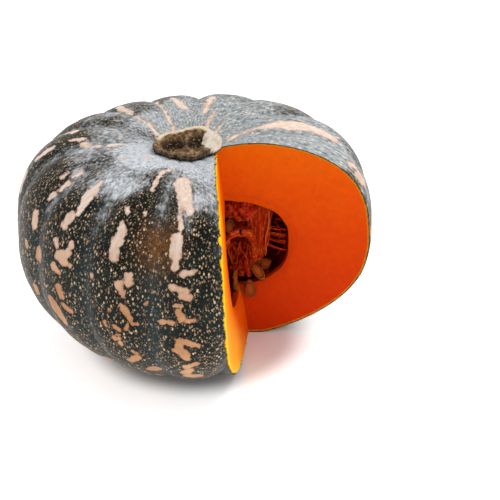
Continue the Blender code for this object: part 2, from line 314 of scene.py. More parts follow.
def finishPiece(piece, material, nodes, sharp=38):
    movePoints(piece, pointsOf(piece) + middle)
    piece.data.materials.clear()
    piece.data.materials.append(material)
    piece.data.shade_smooth()
    piece.data.set_sharp_from_angle(angle=math.radians(sharp))
    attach(piece, "root")
    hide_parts(*nodes)
    print(f"{piece.name}: {sum(len(f.vertices) - 2 for f in piece.data.polygons)} triangles")


# The knife's two cut faces

knife = {"cell": 0.9 * mm, "wobble": 0.45 * mm, "wobbleSize": 38 * mm,
         "grain": 0.10 * mm, "grainSize": 3.2 * mm, "fineGrain": (0.6, 2.2),    # its share, how much finer
         "chips": (0.8, 0.9), "chipSizes": (6 * mm, 2.2 * mm),                  # everywhere, by noise
         "high": 0.094, "wide": 0.126, "reach": 0.2}


def wedgeCutter(name, clear, grain=1.0, ragged=0.0):
    # the slice that was taken out: the room where x > cutX and y < 0, smaller all round by clear
    k = knife
    z = np.concatenate(((-k["reach"],), np.arange(-k["high"], k["high"], k["cell"]), (k["reach"],)))
    steps = np.arange(0, k["wide"], k["cell"])
    columns = [np.stack((np.full_like(z, k["reach"]), np.full_like(z, -clear), z), -1)]
    for step in steps[::-1]:
        columns.append(np.stack((cutX(0, z) + clear + step, np.full_like(z, -clear), z), -1))
    corner = len(columns) - 1                      # where the two faces meet
    for step in (*steps[1:], k["reach"]):
        y = np.full_like(z, -step - clear)
        columns.append(np.stack((cutX(y, z) + clear, y, z), -1))
    points = np.stack(columns)                     # column, row, xyz
    flat = points.reshape(-1, 3)
    fineShare, finer = k["fineGrain"]
    grainWave = k["grain"] * noiseAt(flat, k["grainSize"], 2)
    grainWave = grainWave + fineShare * k["grain"] * noiseAt(flat, k["grainSize"] / finer, 3)
    wave = k["wobble"] * noiseAt(flat, k["wobbleSize"], 1) + grain * grainWave
    wave = wave.reshape(points.shape[:2])
    wave[[0, -1]] = 0
    wave[:, [0, -1]] = 0
    number = np.arange(len(columns))
    points[number <= corner, :, 1] += wave[number <= corner]
    points[number >= corner, :, 0] += wave[number >= corner]
    # the rind chips back from the left face
    always, wild = k["chips"]
    large, small = k["chipSizes"]
    chips = always + wild * noiseAt(flat, large, 17) + wild * noiseAt(flat, small, 18)
    chips = ragged * np.maximum(0, chips)
    points[number >= corner, :, 0] -= chips.reshape(points.shape[:2])[number >= corner]
    across, high = points.shape[:2]
    flat = points.reshape(-1, 3)
    far = k["reach"]
    corners = [(far, -far - clear, -far), (far, -far - clear, far)]
    flat = np.concatenate((flat, corners))
    lowCorner, highCorner = len(flat) - 2, len(flat) - 1
    at = np.arange(across * high).reshape(across, high)
    faces = np.stack((at[:-1, :-1], at[1:, :-1], at[1:, 1:], at[:-1, 1:]), -1).reshape(-1, 4).tolist()
    faces.append([*at[:, 0].tolist(), lowCorner])
    faces.append([*at[::-1, -1].tolist(), highCorner])
    faces.append([*at[0].tolist(), highCorner, lowCorner])
    faces.append([*at[-1, ::-1].tolist(), lowCorner, highCorner])
    cutter = addPiece(name, flat, faces)
    facesOutwards(cutter)
    return cutter


# Rind

rind = {"around": 450, "upwards": 180, "wall": 1.6 * mm, "insideAround": 225, "insideUpwards": 90,
        "relief": 0.26 * mm, "lumps": (0.55, 9 * mm), "pits": (0.45, 3 * mm),        # share and size
        "cutBack": 0.15 * mm, "chipping": 1.8 * mm, "smallestScrap": 200, "onSkinWithin": 0.02 * mm,
        "furrowPaint": 2.2, "patternAt": math.radians(220), "patternRing": 0.115, "patternNarrows": 0.5,
        # the bloom fades between two rises in degrees, and at three azimuths it reaches lower by so many;
        # its painted sheen is brightest at one azimuth
        "bloomFades": (36, 74), "bloomRagged": (16, 24 * mm), "paintedSheenAt": math.radians(230),
        "bloomSides": ((158, 0.12, -13), (251, 0.03, -9), (8, 0.10, 24)),
        "furrowBloom": 0.42, "furrowBloomFades": (14, 50),
        # a rusty patch at (azimuth, rise), and the corky blossom end
        "rustAt": (256.5, 36), "rustStretch": (1, 1, 0.6), "rustReach": 13 * mm,
        "rustBare": (0.9, 20 * mm), "blossomRust": (-66, -80),
        "farFromBlotch": 20.0, "blotchSurround": 6 * mm, "seed": 11}

# pale blotches, per lobe crest: degrees beside the crest and rise at both ends, then the widths there in mm
blotches = {
    28: [(-7.5, 77, -4.5, 71, 3.5, 2.5), (-4.5, 71, -4, 67, 2.5, 5), (-4, 67, -4, 60.5, 6, 11),
         (-4, 60.5, -5, 54, 14, 11), (-5, 54, -9, 43.5, 11.5, 7)],
    52: [(0, 74, -4.5, 78, 2, 4), (3, 49.5, -1, 45, 8, 7), (-1, 45, -6, 41, 5, 5)],
    76: [(3.5, 58, 2, 70, 7, 4), (-6, 69, -11, 77, 3, 3)],
    100: [(12.5, 70, 11, 78, 4, 3), (3, 56.5, -4, 66.5, 5, 8)],
    124: [(7, 50.5, 11.5, 61, 6, 6.5), (12.5, 64, 14, 70, 4, 4.5), (-12, 54.5, -11.5, 70, 5, 4.5)],
    148: [(-11, 71, -5, 77.5, 4, 5)],
    172: [(4, 51, 6, 57, 3, 4), (4, 37, 4, 44.5, 7, 6), (-14, 33.5, -5.5, 51.5, 5, 8)],
    196: [(10.5, 45, 10, 41, 6, 3.5), (9.5, 38.5, 9.5, 36, 5.5, 3.5), (6.5, 45, 6, 48, 4.5, 4.5),
          (9.5, 48, 11, 51.5, 3.5, 3.5), (7, 27, 8, 22, 8, 6.5), (4.5, 11, 5, 9, 5.5, 5.5),
          (8, -11, 8.5, -14, 6, 6), (-14.5, 56, -6, 61, 6, 6), (-4.5, 64.5, -5.5, 68, 5.5, 5.5)],
    220: [(1, 53, 2, 48, 3, 7), (2, 48, 2, 44, 9.5, 9.5), (2, 44, 3, 38, 9.5, 5),
          (0.5, 35.5, 0, 31, 9.5, 6.5), (-1.5, 23.5, -1, 22, 6, 6), (5, 26, 5.5, 24.5, 5, 4),
          (0.5, 17, 4.5, 21, 8, 8.5), (2, 16, 4, 16.5, 7, 6.5), (-1, 11, 1, 10, 7, 6),
          (6, 16, 6, 15, 3.5, 3.5), (1.5, 1, 2.5, -2.5, 8.5, 6.5), (3, -7, 6, -8.5, 5, 4.5),
          (6, 9, 6, 8, 3, 3), (-4, -9, -2, -12, 8, 12), (-2, -12, 0.5, -18, 14.5, 8.5),
          (-11, 11, -11.5, 8.5, 10, 9.5), (-10, 63, 5.5, 73, 2.5, 2.5)],
    244: [(9, -34.5, 10.5, -35.5, 10, 8), (-3, 47, -2, 45, 4, 4), (-2, 41.5, -1, 39, 3, 5.5),
          (-1, 38, -1.5, 33.5, 8, 9.5), (-2, 31.5, -1.5, 27, 8, 7), (4.5, 21, 4.5, 18, 6.5, 6.5),
          (1, 16, 2, 13, 7.5, 5.5), (2, 16.5, 4.5, 19, 4, 4), (3, 12.5, 3, 10.5, 4, 3),
          (2.5, 4.5, 5, 0, 6, 6), (5.5, -3, 7, -3, 3.5, 3.5), (4, -5, 3.5, -6, 4.5, 4),
          (-0.5, -7, 1, -8, 4.5, 4.5), (0, -11, 1, -11, 3, 3), (-1, -14, 1, -13, 4.5, 3.5),
          (0.5, -16, 1, -17, 3.5, 3.5), (2, -28, 5.5, -24, 7, 5.5), (5, 47, 5.5, 46, 3, 3),
          (10, 9, 10, 8, 3, 3), (9, -8, 9.5, -8, 2.5, 2.5), (4.5, -20, 5.5, -21, 4.5, 4.5),
          (-9, 16, -9, 14.5, 3.5, 3.5), (-4, -6, -3.5, -8, 3.5, 3.5), (-2, 2, -2, 1, 3, 3),
          (4, 56.5, 3.5, 63, 3.5, 3.5), (3.5, 63, 4.5, 67, 4, 4), (4.5, 67, 9.5, 71, 4, 4)],
    268: [(-5, 62.5, -2.5, 54, 12.5, 11), (-2.5, 54, -0.5, 49.5, 9.5, 5.5), (-5, 52, -4, 43, 3.5, 3.5),
          (-5, 39, -5, 32.5, 10, 8), (-5, 32.5, -5, 28, 5.5, 6.5), (-3, 25, 1, 26.5, 4.5, 4.5),
          (-6, 19, -1.5, 18, 5, 4.5), (-3, 15, -0.5, 14.5, 5.5, 5), (-5, 10, -3, 10, 3.5, 2.5),
          (-4, 7, -3, 3, 5.5, 6.5), (-9, 0, -4.5, 1.5, 4.5, 2.5), (-1.5, 2, 1, 2.5, 2.5, 4),
          (-4, -8.5, -4, -14, 6, 7.5), (-4, -14, -1.5, -19, 10, 6.5), (-2, -9, 2, -11, 7, 4),
          (-2, -26.5, 2, -23, 7, 3), (-3, -33, -1, -30, 8, 8), (-2, -37, 2, -37, 10, 10)],
}
# lobes whose sides the photograph doesn't show, with the highest rise for guessed blotches
hiddenLobes = {4: 50, 28: 40, 52: 38, 76: 46, 100: 46, 124: 42, 148: 46, 172: 30, 196: -22, 220: -28,
               244: -44}
# on those lobes: how many blotches, where and how long in degrees, and how wide in mm
guessedBlotches = {"atLeast": 5, "degreesEach": 7, "lowest": -60, "beside": 8, "drift": 2,
                   "lengths": (3, 4, 6, 9), "widths": (3, 3.5, 4, 5, 6, 7, 9), "narrowing": (0.6, 1)}


def allBlotches():
    g = guessedBlotches
    rng = random.Random(rind["seed"])
    found = [(crest, *blotch) for crest, rows in blotches.items() for blotch in rows]
    for crest, highest in hiddenLobes.items():
        for number in range(int(g["atLeast"] + (highest - g["lowest"]) / g["degreesEach"])):
            side = rng.uniform(-g["beside"], g["beside"])
            rise = rng.uniform(g["lowest"], highest)
            long = rng.choice(g["lengths"])
            wide = rng.choice(g["widths"])
            endSide = side + rng.uniform(-g["drift"], g["drift"])
            endWide = wide * rng.uniform(*g["narrowing"])
            found.append((crest, side, rise, endSide, rise - long, wide, endWide))
    return found


def blotchDistance(points):
    # how far each point is from the nearest blotch's edge, in mm, less than 0 inside one
    nearest = np.full(len(points), rind["farFromBlotch"])
    for crest, side0, rise0, side1, rise1, wide0, wide1 in allBlotches():
        ends = skinPoint(np.radians((crest + side0, crest + side1)), np.radians((rise0, rise1)))
        along = ends[1] - ends[0]
        reach = max(wide0, wide1) * mm + np.linalg.norm(along) + rind["blotchSurround"]
        close = np.abs(points - ends.mean(0)).max(1) < reach
        if not close.any():
            continue
        here = points[close] - ends[0]
        t = np.clip(here @ along / max(along @ along, 1e-12), 0, 1)
        away = np.linalg.norm(here - t[:, None] * along, axis=1) / mm
        edge = away - 0.5 * (wide0 + (wide1 - wide0) * t)
        nearest[close] = np.minimum(nearest[close], edge)
    return nearest


def makeRind(cutter):
    r = rind
    azimuth, rise, faces = sphereGrid(r["around"], r["upwards"], squash["firstFurrow"])
    smooth = skinPoint(azimuth, rise)
    (lumpShare, lumpSize), (pitShare, pitSize) = r["lumps"], r["pits"]
    lumps = lumpShare * noiseAt(smooth, lumpSize, 4) + pitShare * noiseAt(smooth, pitSize, 5)
    shaped = skinPoint(azimuth, rise, r["relief"] * (0.75 + lumps))
    piece = addPiece("rindSkin", shaped, faces)
    inAzimuth, inRise, inFaces = sphereGrid(r["insideAround"], r["insideUpwards"], squash["firstFurrow"])
    inside = addPiece("rind inside", skinPoint(inAzimuth, inRise, r["wall"]), inFaces)
    cutAway(piece, inside, cutter)
    bpy.data.objects.remove(inside)
    dropScraps(piece, r["smallestScrap"])

    # where each point of the cut mesh was on the skin's own grid
    tree = KDTree(len(shaped))
    for i, point in enumerate(shaped):
        tree.insert(point, i)
    tree.balance()
    points = pointsOf(piece)
    around, up = np.empty(len(points)), np.empty(len(points))
    onSkin = np.zeros(len(points), bool)
    for i, point in enumerate(points):
        near = tree.find_n(point, 3)
        weights = np.array([1 / (found[2] + 1e-7) for found in near])
        weights /= weights.sum()
        places = [found[1] for found in near]
        around[i] = math.atan2(weights @ np.sin(azimuth[places]), weights @ np.cos(azimuth[places]))
        up[i] = weights @ rise[places]
        onSkin[i] = near[0][2] < r["onSkinWithin"]
    depth = np.zeros(len(points))
    depth[~onSkin] = distanceTo(surfaceOf(shaped, faces), points[~onSkin]) / mm
    furrow = (1 - np.abs(np.sin(math.pi * furrowTurn(around)))) ** r["furrowPaint"]

    # a flat map for the pattern: arc length from below along z, a narrowing ring round the axis on x and y
    rises = np.linspace(-math.pi / 2, math.pi / 2, 400)
    profile = skinPoint(np.full_like(rises, r["patternAt"]), rises)
    lengths = np.concatenate(((0,), np.cumsum(np.linalg.norm(np.diff(profile, axis=0), axis=1))))
    arc = np.interp(up, rises, lengths)
    ring = superellipse(up, squash["girthRadius"], squash["crownHeight"], squash["baseDepth"],
                        squash["crownPower"], squash["basePower"])[0]
    ring = r["patternRing"] * (np.maximum(ring, 1e-4) / squash["girthRadius"]) ** r["patternNarrows"]
    storeAttribute(piece, "grain", np.stack((ring * np.cos(around), ring * np.sin(around), arc), -1))

    degrees = np.degrees(up)
    # the bloom's painted sheen: brightest towards the front left, fading round to the back
    paintedSheen = 0.5 + 0.5 * np.cos(around - r["paintedSheenAt"])
    ragged, raggedSize = r["bloomRagged"]
    level = degrees + ragged * noiseAt(points, raggedSize, 6)
    for towards, wide, lower in r["bloomSides"]:
        level += lower * np.exp((np.cos(around - math.radians(towards)) - 1) / wide)
    wax = smoothStep(*r["bloomFades"], level)
    wax = np.maximum(wax, r["furrowBloom"] * furrow * smoothStep(*r["furrowBloomFades"], degrees))
    rustAway = np.linalg.norm((points - skinPoint(*np.radians(r["rustAt"]))) * r["rustStretch"], axis=1)
    bareShare, bareReach = r["rustBare"]
    wax *= 1 - bareShare * np.exp(-(rustAway / bareReach) ** 4)
    rust = np.exp(-(rustAway / r["rustReach"]) ** 2)
    rust = np.maximum(rust, smoothStep(*r["blossomRust"], degrees))
    storeAttribute(piece, "marks", np.stack((blotchDistance(points), wax, furrow), -1))
    storeAttribute(piece, "age", np.stack((rust, depth, paintedSheen), -1))
    return piece


def makeRindMaterial():
    # Living cucurbit rind, grown smooth with a dull wax bloom: half gloss on the dark green sides, matt
    # grey-blue round the stem, with corky tan flecks of 1 to 2 mm drawn out towards the stem.
    material, tree, shader = newMaterial("grown kabocha rind with wax bloom", 0.42, 1.45,
                                         Specular_IOR_Level=0.11)
    grain = addNode(tree, "ShaderNodeAttribute", {"attribute_name": "grain"}).outputs["Vector"]
    marks = addNode(tree, "ShaderNodeAttribute", {"attribute_name": "marks"}).outputs["Vector"]
    age = addNode(tree, "ShaderNodeAttribute", {"attribute_name": "age"}).outputs["Vector"]
    marks = addNode(tree, "ShaderNodeSeparateXYZ", {}, {0: marks}).outputs
    age = addNode(tree, "ShaderNodeSeparateXYZ", {}, {0: age}).outputs
    place = addNode(tree, "ShaderNodeTexCoord").outputs["Object"]

    # flecks: one to each Voronoi cell, the cells 1.5 mm and 1.0 mm wide and twice as long
    masks, tones = [], []
    for cells, least, most, softness in ((1 / 0.0015, 0.10, 0.50, 0.10), (1 / 0.0010, -0.04, 0.46, 0.14)):
        drawn = addNode(tree, "ShaderNodeMapping", {"Scale": (cells, cells, cells / 2)},
                        {"Vector": grain})
        cell = addNode(tree, "ShaderNodeTexVoronoi", {"feature": "F1", "Scale": 1.0, "Randomness": 1.0},
                       {"Vector": drawn})
        pick = addNode(tree, "ShaderNodeSeparateColor", {}, {0: cell.outputs["Color"]})
        size = addNode(tree, "ShaderNodeMapRange", {"To Min": least, "To Max": most}, {"Value": pick})
        gap = addNode(tree, "ShaderNodeMath", {"operation": "SUBTRACT"},
                      {0: size, 1: cell.outputs["Distance"]})
        mask = addNode(tree, "ShaderNodeMapRange",
                       {"interpolation_type": "SMOOTHSTEP", "From Min": -softness / 2,
                        "From Max": softness},
                       {"Value": gap})
        masks.append(mask.outputs[0])
        tones.append(pick.outputs[1])
    flecks = addNode(tree, "ShaderNodeMath", {"operation": "MULTIPLY", 1: 0.72}, {0: masks[1]})
    flecks = addNode(tree, "ShaderNodeMath", {"operation": "MAXIMUM"}, {0: masks[0], 1: flecks})

    # ragged edges for the blotches, out of two sizes of noise
    alongLobe = addNode(tree, "ShaderNodeMapping", {"Scale": (1, 1, 0.65)}, {"Vector": grain}).outputs[0]
    ragged = addNode(tree, "ShaderNodeTexNoise", {"Scale": 1 / 0.0056, "Detail": 4.0, "Roughness": 0.65},
                     {"Vector": alongLobe})
    edge = addNode(tree, "ShaderNodeMath", {"operation": "MULTIPLY_ADD", 1: 7.0, 2: -3.2}, {0: ragged})
    edge = addNode(tree, "ShaderNodeMath", {"operation": "ADD"}, {0: edge, 1: marks[0]})
    nibbled = addNode(tree, "ShaderNodeTexNoise", {"Scale": 1 / 0.0024, "Detail": 3.0, "Roughness": 0.65},
                      {"Vector": alongLobe})
    nibbled = addNode(tree, "ShaderNodeMath", {"operation": "MULTIPLY_ADD", 1: 3.2, 2: -1.75},
                      {0: nibbled})
    edge = addNode(tree, "ShaderNodeMath", {"operation": "ADD"}, {0: edge, 1: nibbled})
    blotch = addNode(tree, "ShaderNodeMapRange",
                     {"interpolation_type": "SMOOTHSTEP", "From Min": 0.5, "From Max": -0.3},
                     {"Value": edge})
    halo = addNode(tree, "ShaderNodeMapRange",
                   {"interpolation_type": "SMOOTHSTEP", "From Min": 2.6, "From Max": 0.8},
                   {"Value": edge})

    mottle = addNode(tree, "ShaderNodeTexNoise", {"Scale": 1 / 0.016, "Detail": 5.0, "Roughness": 0.62},
                     {"Vector": grain})
    dark = addNode(tree, "ShaderNodeValToRGB",
                   {"stops": ((0.30, "#080e0c"), (0.52, "#141d1a"), (0.78, "#26322d"))}, {0: mottle})
    cool = addNode(tree, "ShaderNodeMath", {"operation": "MULTIPLY", 1: 0.55}, {0: marks[2]})
    dark = addNode(tree, "ShaderNodeMix", {"data_type": "RGBA", 7: hexColour("#34444a")},
                   {0: cool, 6: dark})
    # rusty corky skin between the flecks, in one patch and under the fruit
    cork = addNode(tree, "ShaderNodeTexNoise", {"Scale": 1 / 0.0032, "Detail": 4.0, "Roughness": 0.7},
                   {"Vector": grain})
    rusty = addNode(tree, "ShaderNodeMapRange", {"From Min": 0.32, "From Max": 0.56}, {"Value": cork})
    rusty = addNode(tree, "ShaderNodeMath", {"operation": "MULTIPLY"}, {0: rusty, 1: age[0]})
    dark = addNode(tree, "ShaderNodeMix", {"data_type": "RGBA", 7: hexColour("#7a4a1c")},
                   {0: rusty, 6: dark})
    fleckColour = addNode(tree, "ShaderNodeValToRGB",
                          {"stops": ((0.0, "#54442f"), (0.5, "#9c7e5e"), (1.0, "#e6c29c"))},
                          {0: tones[0]})
    calm = addNode(tree, "ShaderNodeMapRange", {"To Min": 1.0, "To Max": 0.25}, {"Value": halo})
    calmer = addNode(tree, "ShaderNodeMapRange", {"To Min": 1.0, "To Max": 0.6}, {"Value": marks[2]})
    flecks = addNode(tree, "ShaderNodeMath", {"operation": "MULTIPLY"}, {0: flecks, 1: calm})
    flecks = addNode(tree, "ShaderNodeMath", {"operation": "MULTIPLY"}, {0: flecks, 1: calmer})
    side = addNode(tree, "ShaderNodeMix", {"data_type": "RGBA"}, {0: flecks, 6: dark, 7: fleckColour})

    # wax bloom with pale dashes that run towards the stem; both of its tones turn paler towards the front
    # left as a painted sheen
    drawn = addNode(tree, "ShaderNodeMapping", {"Scale": (430, 430, 34)}, {"Vector": grain})
    streaks = addNode(tree, "ShaderNodeTexNoise", {"Scale": 1.0, "Detail": 3.0, "Roughness": 0.62},
                      {"Vector": drawn})
    waxDark = addNode(tree, "ShaderNodeMix",
                      {"data_type": "RGBA", 6: hexColour("#46545a"), 7: hexColour("#919ba3")},
                      {0: age[2]})
    waxPale = addNode(tree, "ShaderNodeMix",
                      {"data_type": "RGBA", 6: hexColour("#ccd1d3"), 7: hexColour("#e4e6ea")},
                      {0: age[2]})
    streak = addNode(tree, "ShaderNodeMapRange", {"From Min": 0.24, "From Max": 0.68}, {"Value": streaks})
    wax = addNode(tree, "ShaderNodeMix", {"data_type": "RGBA"}, {0: streak, 6: waxDark, 7: waxPale})
    drawn = addNode(tree, "ShaderNodeMapping", {"Scale": (400, 400, 150)}, {"Vector": grain})
    dash = addNode(tree, "ShaderNodeTexVoronoi", {"feature": "F1", "Scale": 1.0}, {"Vector": drawn})
    dashPick = addNode(tree, "ShaderNodeSeparateColor", {}, {0: dash.outputs["Color"]})
    size = addNode(tree, "ShaderNodeMapRange", {"To Min": 0.0, "To Max": 0.46}, {"Value": dashPick})
    gap = addNode(tree, "ShaderNodeMath", {"operation": "SUBTRACT"},
                  {0: size, 1: dash.outputs["Distance"]})
    dashes = addNode(tree, "ShaderNodeMapRange", {"From Min": -0.03, "From Max": 0.10, "To Max": 0.9},
                     {"Value": gap})
    fewer = addNode(tree, "ShaderNodeMapRange", {"To Min": 1.0, "To Max": 0.5}, {"Value": age[2]})
    dashes = addNode(tree, "ShaderNodeMath", {"operation": "MULTIPLY"}, {0: dashes, 1: fewer})
    wax = addNode(tree, "ShaderNodeMix", {"data_type": "RGBA", 7: hexColour("#f4e6d6")},
                  {0: dashes, 6: wax})
    # the bloom wears off in streaks
    worn = addNode(tree, "ShaderNodeMath", {"operation": "MULTIPLY_ADD", 1: 1.4, 2: -1.15}, {0: streaks})
    worn = addNode(tree, "ShaderNodeMath", {"operation": "MULTIPLY_ADD", 1: 1.0}, {0: mottle, 2: worn})
    worn = addNode(tree, "ShaderNodeMath", {"operation": "MULTIPLY_ADD", 1: 1.25}, {0: marks[1], 2: worn})
    bloom = addNode(tree, "ShaderNodeMapRange",
                    {"interpolation_type": "SMOOTHSTEP", "From Min": 0.10, "From Max": 1.15},
                    {"Value": worn})
    onset = addNode(tree, "ShaderNodeMapRange", {"From Max": 0.2}, {"Value": marks[1]})
    bloom = addNode(tree, "ShaderNodeMath", {"operation": "MULTIPLY"}, {0: bloom, 1: onset})
    # at the back and the right it is thin, so that the flecks show through
    thin = addNode(tree, "ShaderNodeMapRange", {"To Min": 0.84, "To Max": 1.0}, {"Value": age[2]})
    bloom = addNode(tree, "ShaderNodeMath", {"operation": "MULTIPLY"}, {0: bloom, 1: thin})
    body = addNode(tree, "ShaderNodeMix", {"data_type": "RGBA"}, {0: bloom, 6: side, 7: wax})

    # blotches: tan low down, cream near the top, where the cream is partly wax on them and partly a painted
    # highlight
    high = addNode(tree, "ShaderNodeSeparateXYZ", {}, {0: place})
    pale = addNode(tree, "ShaderNodeMapRange", {"From Min": 0.098, "From Max": 0.155},
                   {"Value": high.outputs[2]})
    tan = addNode(tree, "ShaderNodeValToRGB",
                  {"stops": ((0.3, "#a8764e"), (0.55, "#c08e66"), (0.8, "#d6aa86"))}, {0: mottle})
    cream = addNode(tree, "ShaderNodeValToRGB", {"stops": ((0.3, "#dfc0a8"), (0.7, "#f6e4d8"))},
                    {0: streaks})
    spot = addNode(tree, "ShaderNodeMix", {"data_type": "RGBA"}, {0: pale, 6: tan, 7: cream})
    burnt = addNode(tree, "ShaderNodeMapRange", {"From Min": -1.3, "From Max": 0.3, "To Max": 0.65},
                    {"Value": edge})
    spot = addNode(tree, "ShaderNodeMix", {"data_type": "RGBA", 7: hexColour("#9a6440")},
                   {0: burnt, 6: spot})
    body = addNode(tree, "ShaderNodeMix", {"data_type": "RGBA"}, {0: blotch, 6: body, 7: spot})

    # the cut edge: a dark green line, then yellow-green towards the flesh
    chipped = addNode(tree, "ShaderNodeMath", {"operation": "MULTIPLY_ADD", 1: 2.4, 2: -1.1}, {0: cork})
    chipped = addNode(tree, "ShaderNodeMath", {"operation": "ADD"}, {0: chipped, 1: age[1]})
    chipped = addNode(tree, "ShaderNodeMath", {"operation": "DIVIDE", 1: 1.6}, {0: chipped})
    rim = addNode(tree, "ShaderNodeValToRGB",
                  {"stops": ((0.0, "#1a2012"), (0.40, "#3a3c16"), (0.66, "#96781c"), (0.92, "#d07c10"))},
                  {0: chipped})
    inside = addNode(tree, "ShaderNodeMapRange", {"From Min": 0.02, "From Max": 0.10}, {"Value": age[1]})
    body = addNode(tree, "ShaderNodeMix", {"data_type": "RGBA"}, {0: inside, 6: body, 7: rim})
    tree.links.new(body.outputs[2], shader.inputs["Base Color"])

    rough = addNode(tree, "ShaderNodeMapRange", {"To Min": 0.36, "To Max": 0.62}, {"Value": bloom})
    rough = addNode(tree, "ShaderNodeMath", {"operation": "MULTIPLY_ADD", 1: 0.16}, {0: flecks, 2: rough})
    tree.links.new(rough.outputs[0], shader.inputs["Roughness"])
    height = addNode(tree, "ShaderNodeMath", {"operation": "MULTIPLY_ADD", 1: 0.5},
                     {0: flecks, 2: mottle})
    height = addNode(tree, "ShaderNodeMath", {"operation": "MULTIPLY_ADD", 1: 0.35},
                     {0: streaks, 2: height})
    bump = addNode(tree, "ShaderNodeBump", {"Strength": 0.6, "Distance": 0.0006}, {"Height": height})
    tree.links.new(bump.outputs[0], shader.inputs["Normal"])
    return material


# Flesh

flesh = {"around": 225, "upwards": 90, "inset": 1.52 * mm, "cavityAround": 170, "cavityUpwards": 84,
         "cavityRelief": 0.5 * mm, "cavityLumps": 7 * mm, "smallestScrap": 200,
         "onFaceWithin": 1.2 * mm, "behindCorner": 0.5 * mm, "cornerWithin": 0.4 * mm,
         "lip": 1.0 * mm, "lipReach": 2.2 * mm, "lipFromSkin": 4,          # the last in mm
         "vesselEndAt": (0.0200, -0.0190, 0.0965)}


def makeFlesh(cutter):
    f = flesh
    azimuth, rise, faces = sphereGrid(f["around"], f["upwards"], squash["firstFurrow"])
    piece = addPiece("cutFlesh", skinPoint(azimuth, rise, f["inset"]), faces)
    wallAzimuth, wallRise, wallFaces = sphereGrid(f["cavityAround"], f["cavityUpwards"])
    smoothWall = cavityPoint(wallAzimuth, wallRise)
    lumps = f["cavityRelief"] * noiseAt(smoothWall, f["cavityLumps"], 7)
    hollow = addPiece("cavity", cavityPoint(wallAzimuth, wallRise, lumps), wallFaces)
    cutAway(piece, hollow, cutter)
    bpy.data.objects.remove(hollow)
    dropScraps(piece, f["smallestScrap"])
    points = pointsOf(piece)
    fromSkin = distanceTo(surfaceOf(skinPoint(azimuth, rise), faces), points) / mm
    fromCavity = distanceTo(surfaceOf(smoothWall, wallFaces), points) / mm
    x, y, z = points.T.copy()
    rightFace = np.abs(y) < f["onFaceWithin"]
    leftFace = (np.abs(x - cutX(y, z)) < f["onFaceWithin"]) & (y < f["behindCorner"])
    # the knife's edges round off where the cavity opens
    sink = f["lip"] * np.exp(-(fromCavity * mm / f["lipReach"]) ** 2) * (fromSkin > f["lipFromSkin"])
    points[rightFace, 1] += sink[rightFace]
    points[leftFace, 0] -= sink[leftFace]
    movePoints(piece, points)
    left = np.where(leftFace & ~(rightFace & (points[:, 1] > -f["cornerWithin"])), 1.0, 0.0)
    storeAttribute(piece, "layers", np.stack((fromSkin, fromCavity, left), -1))
    return piece


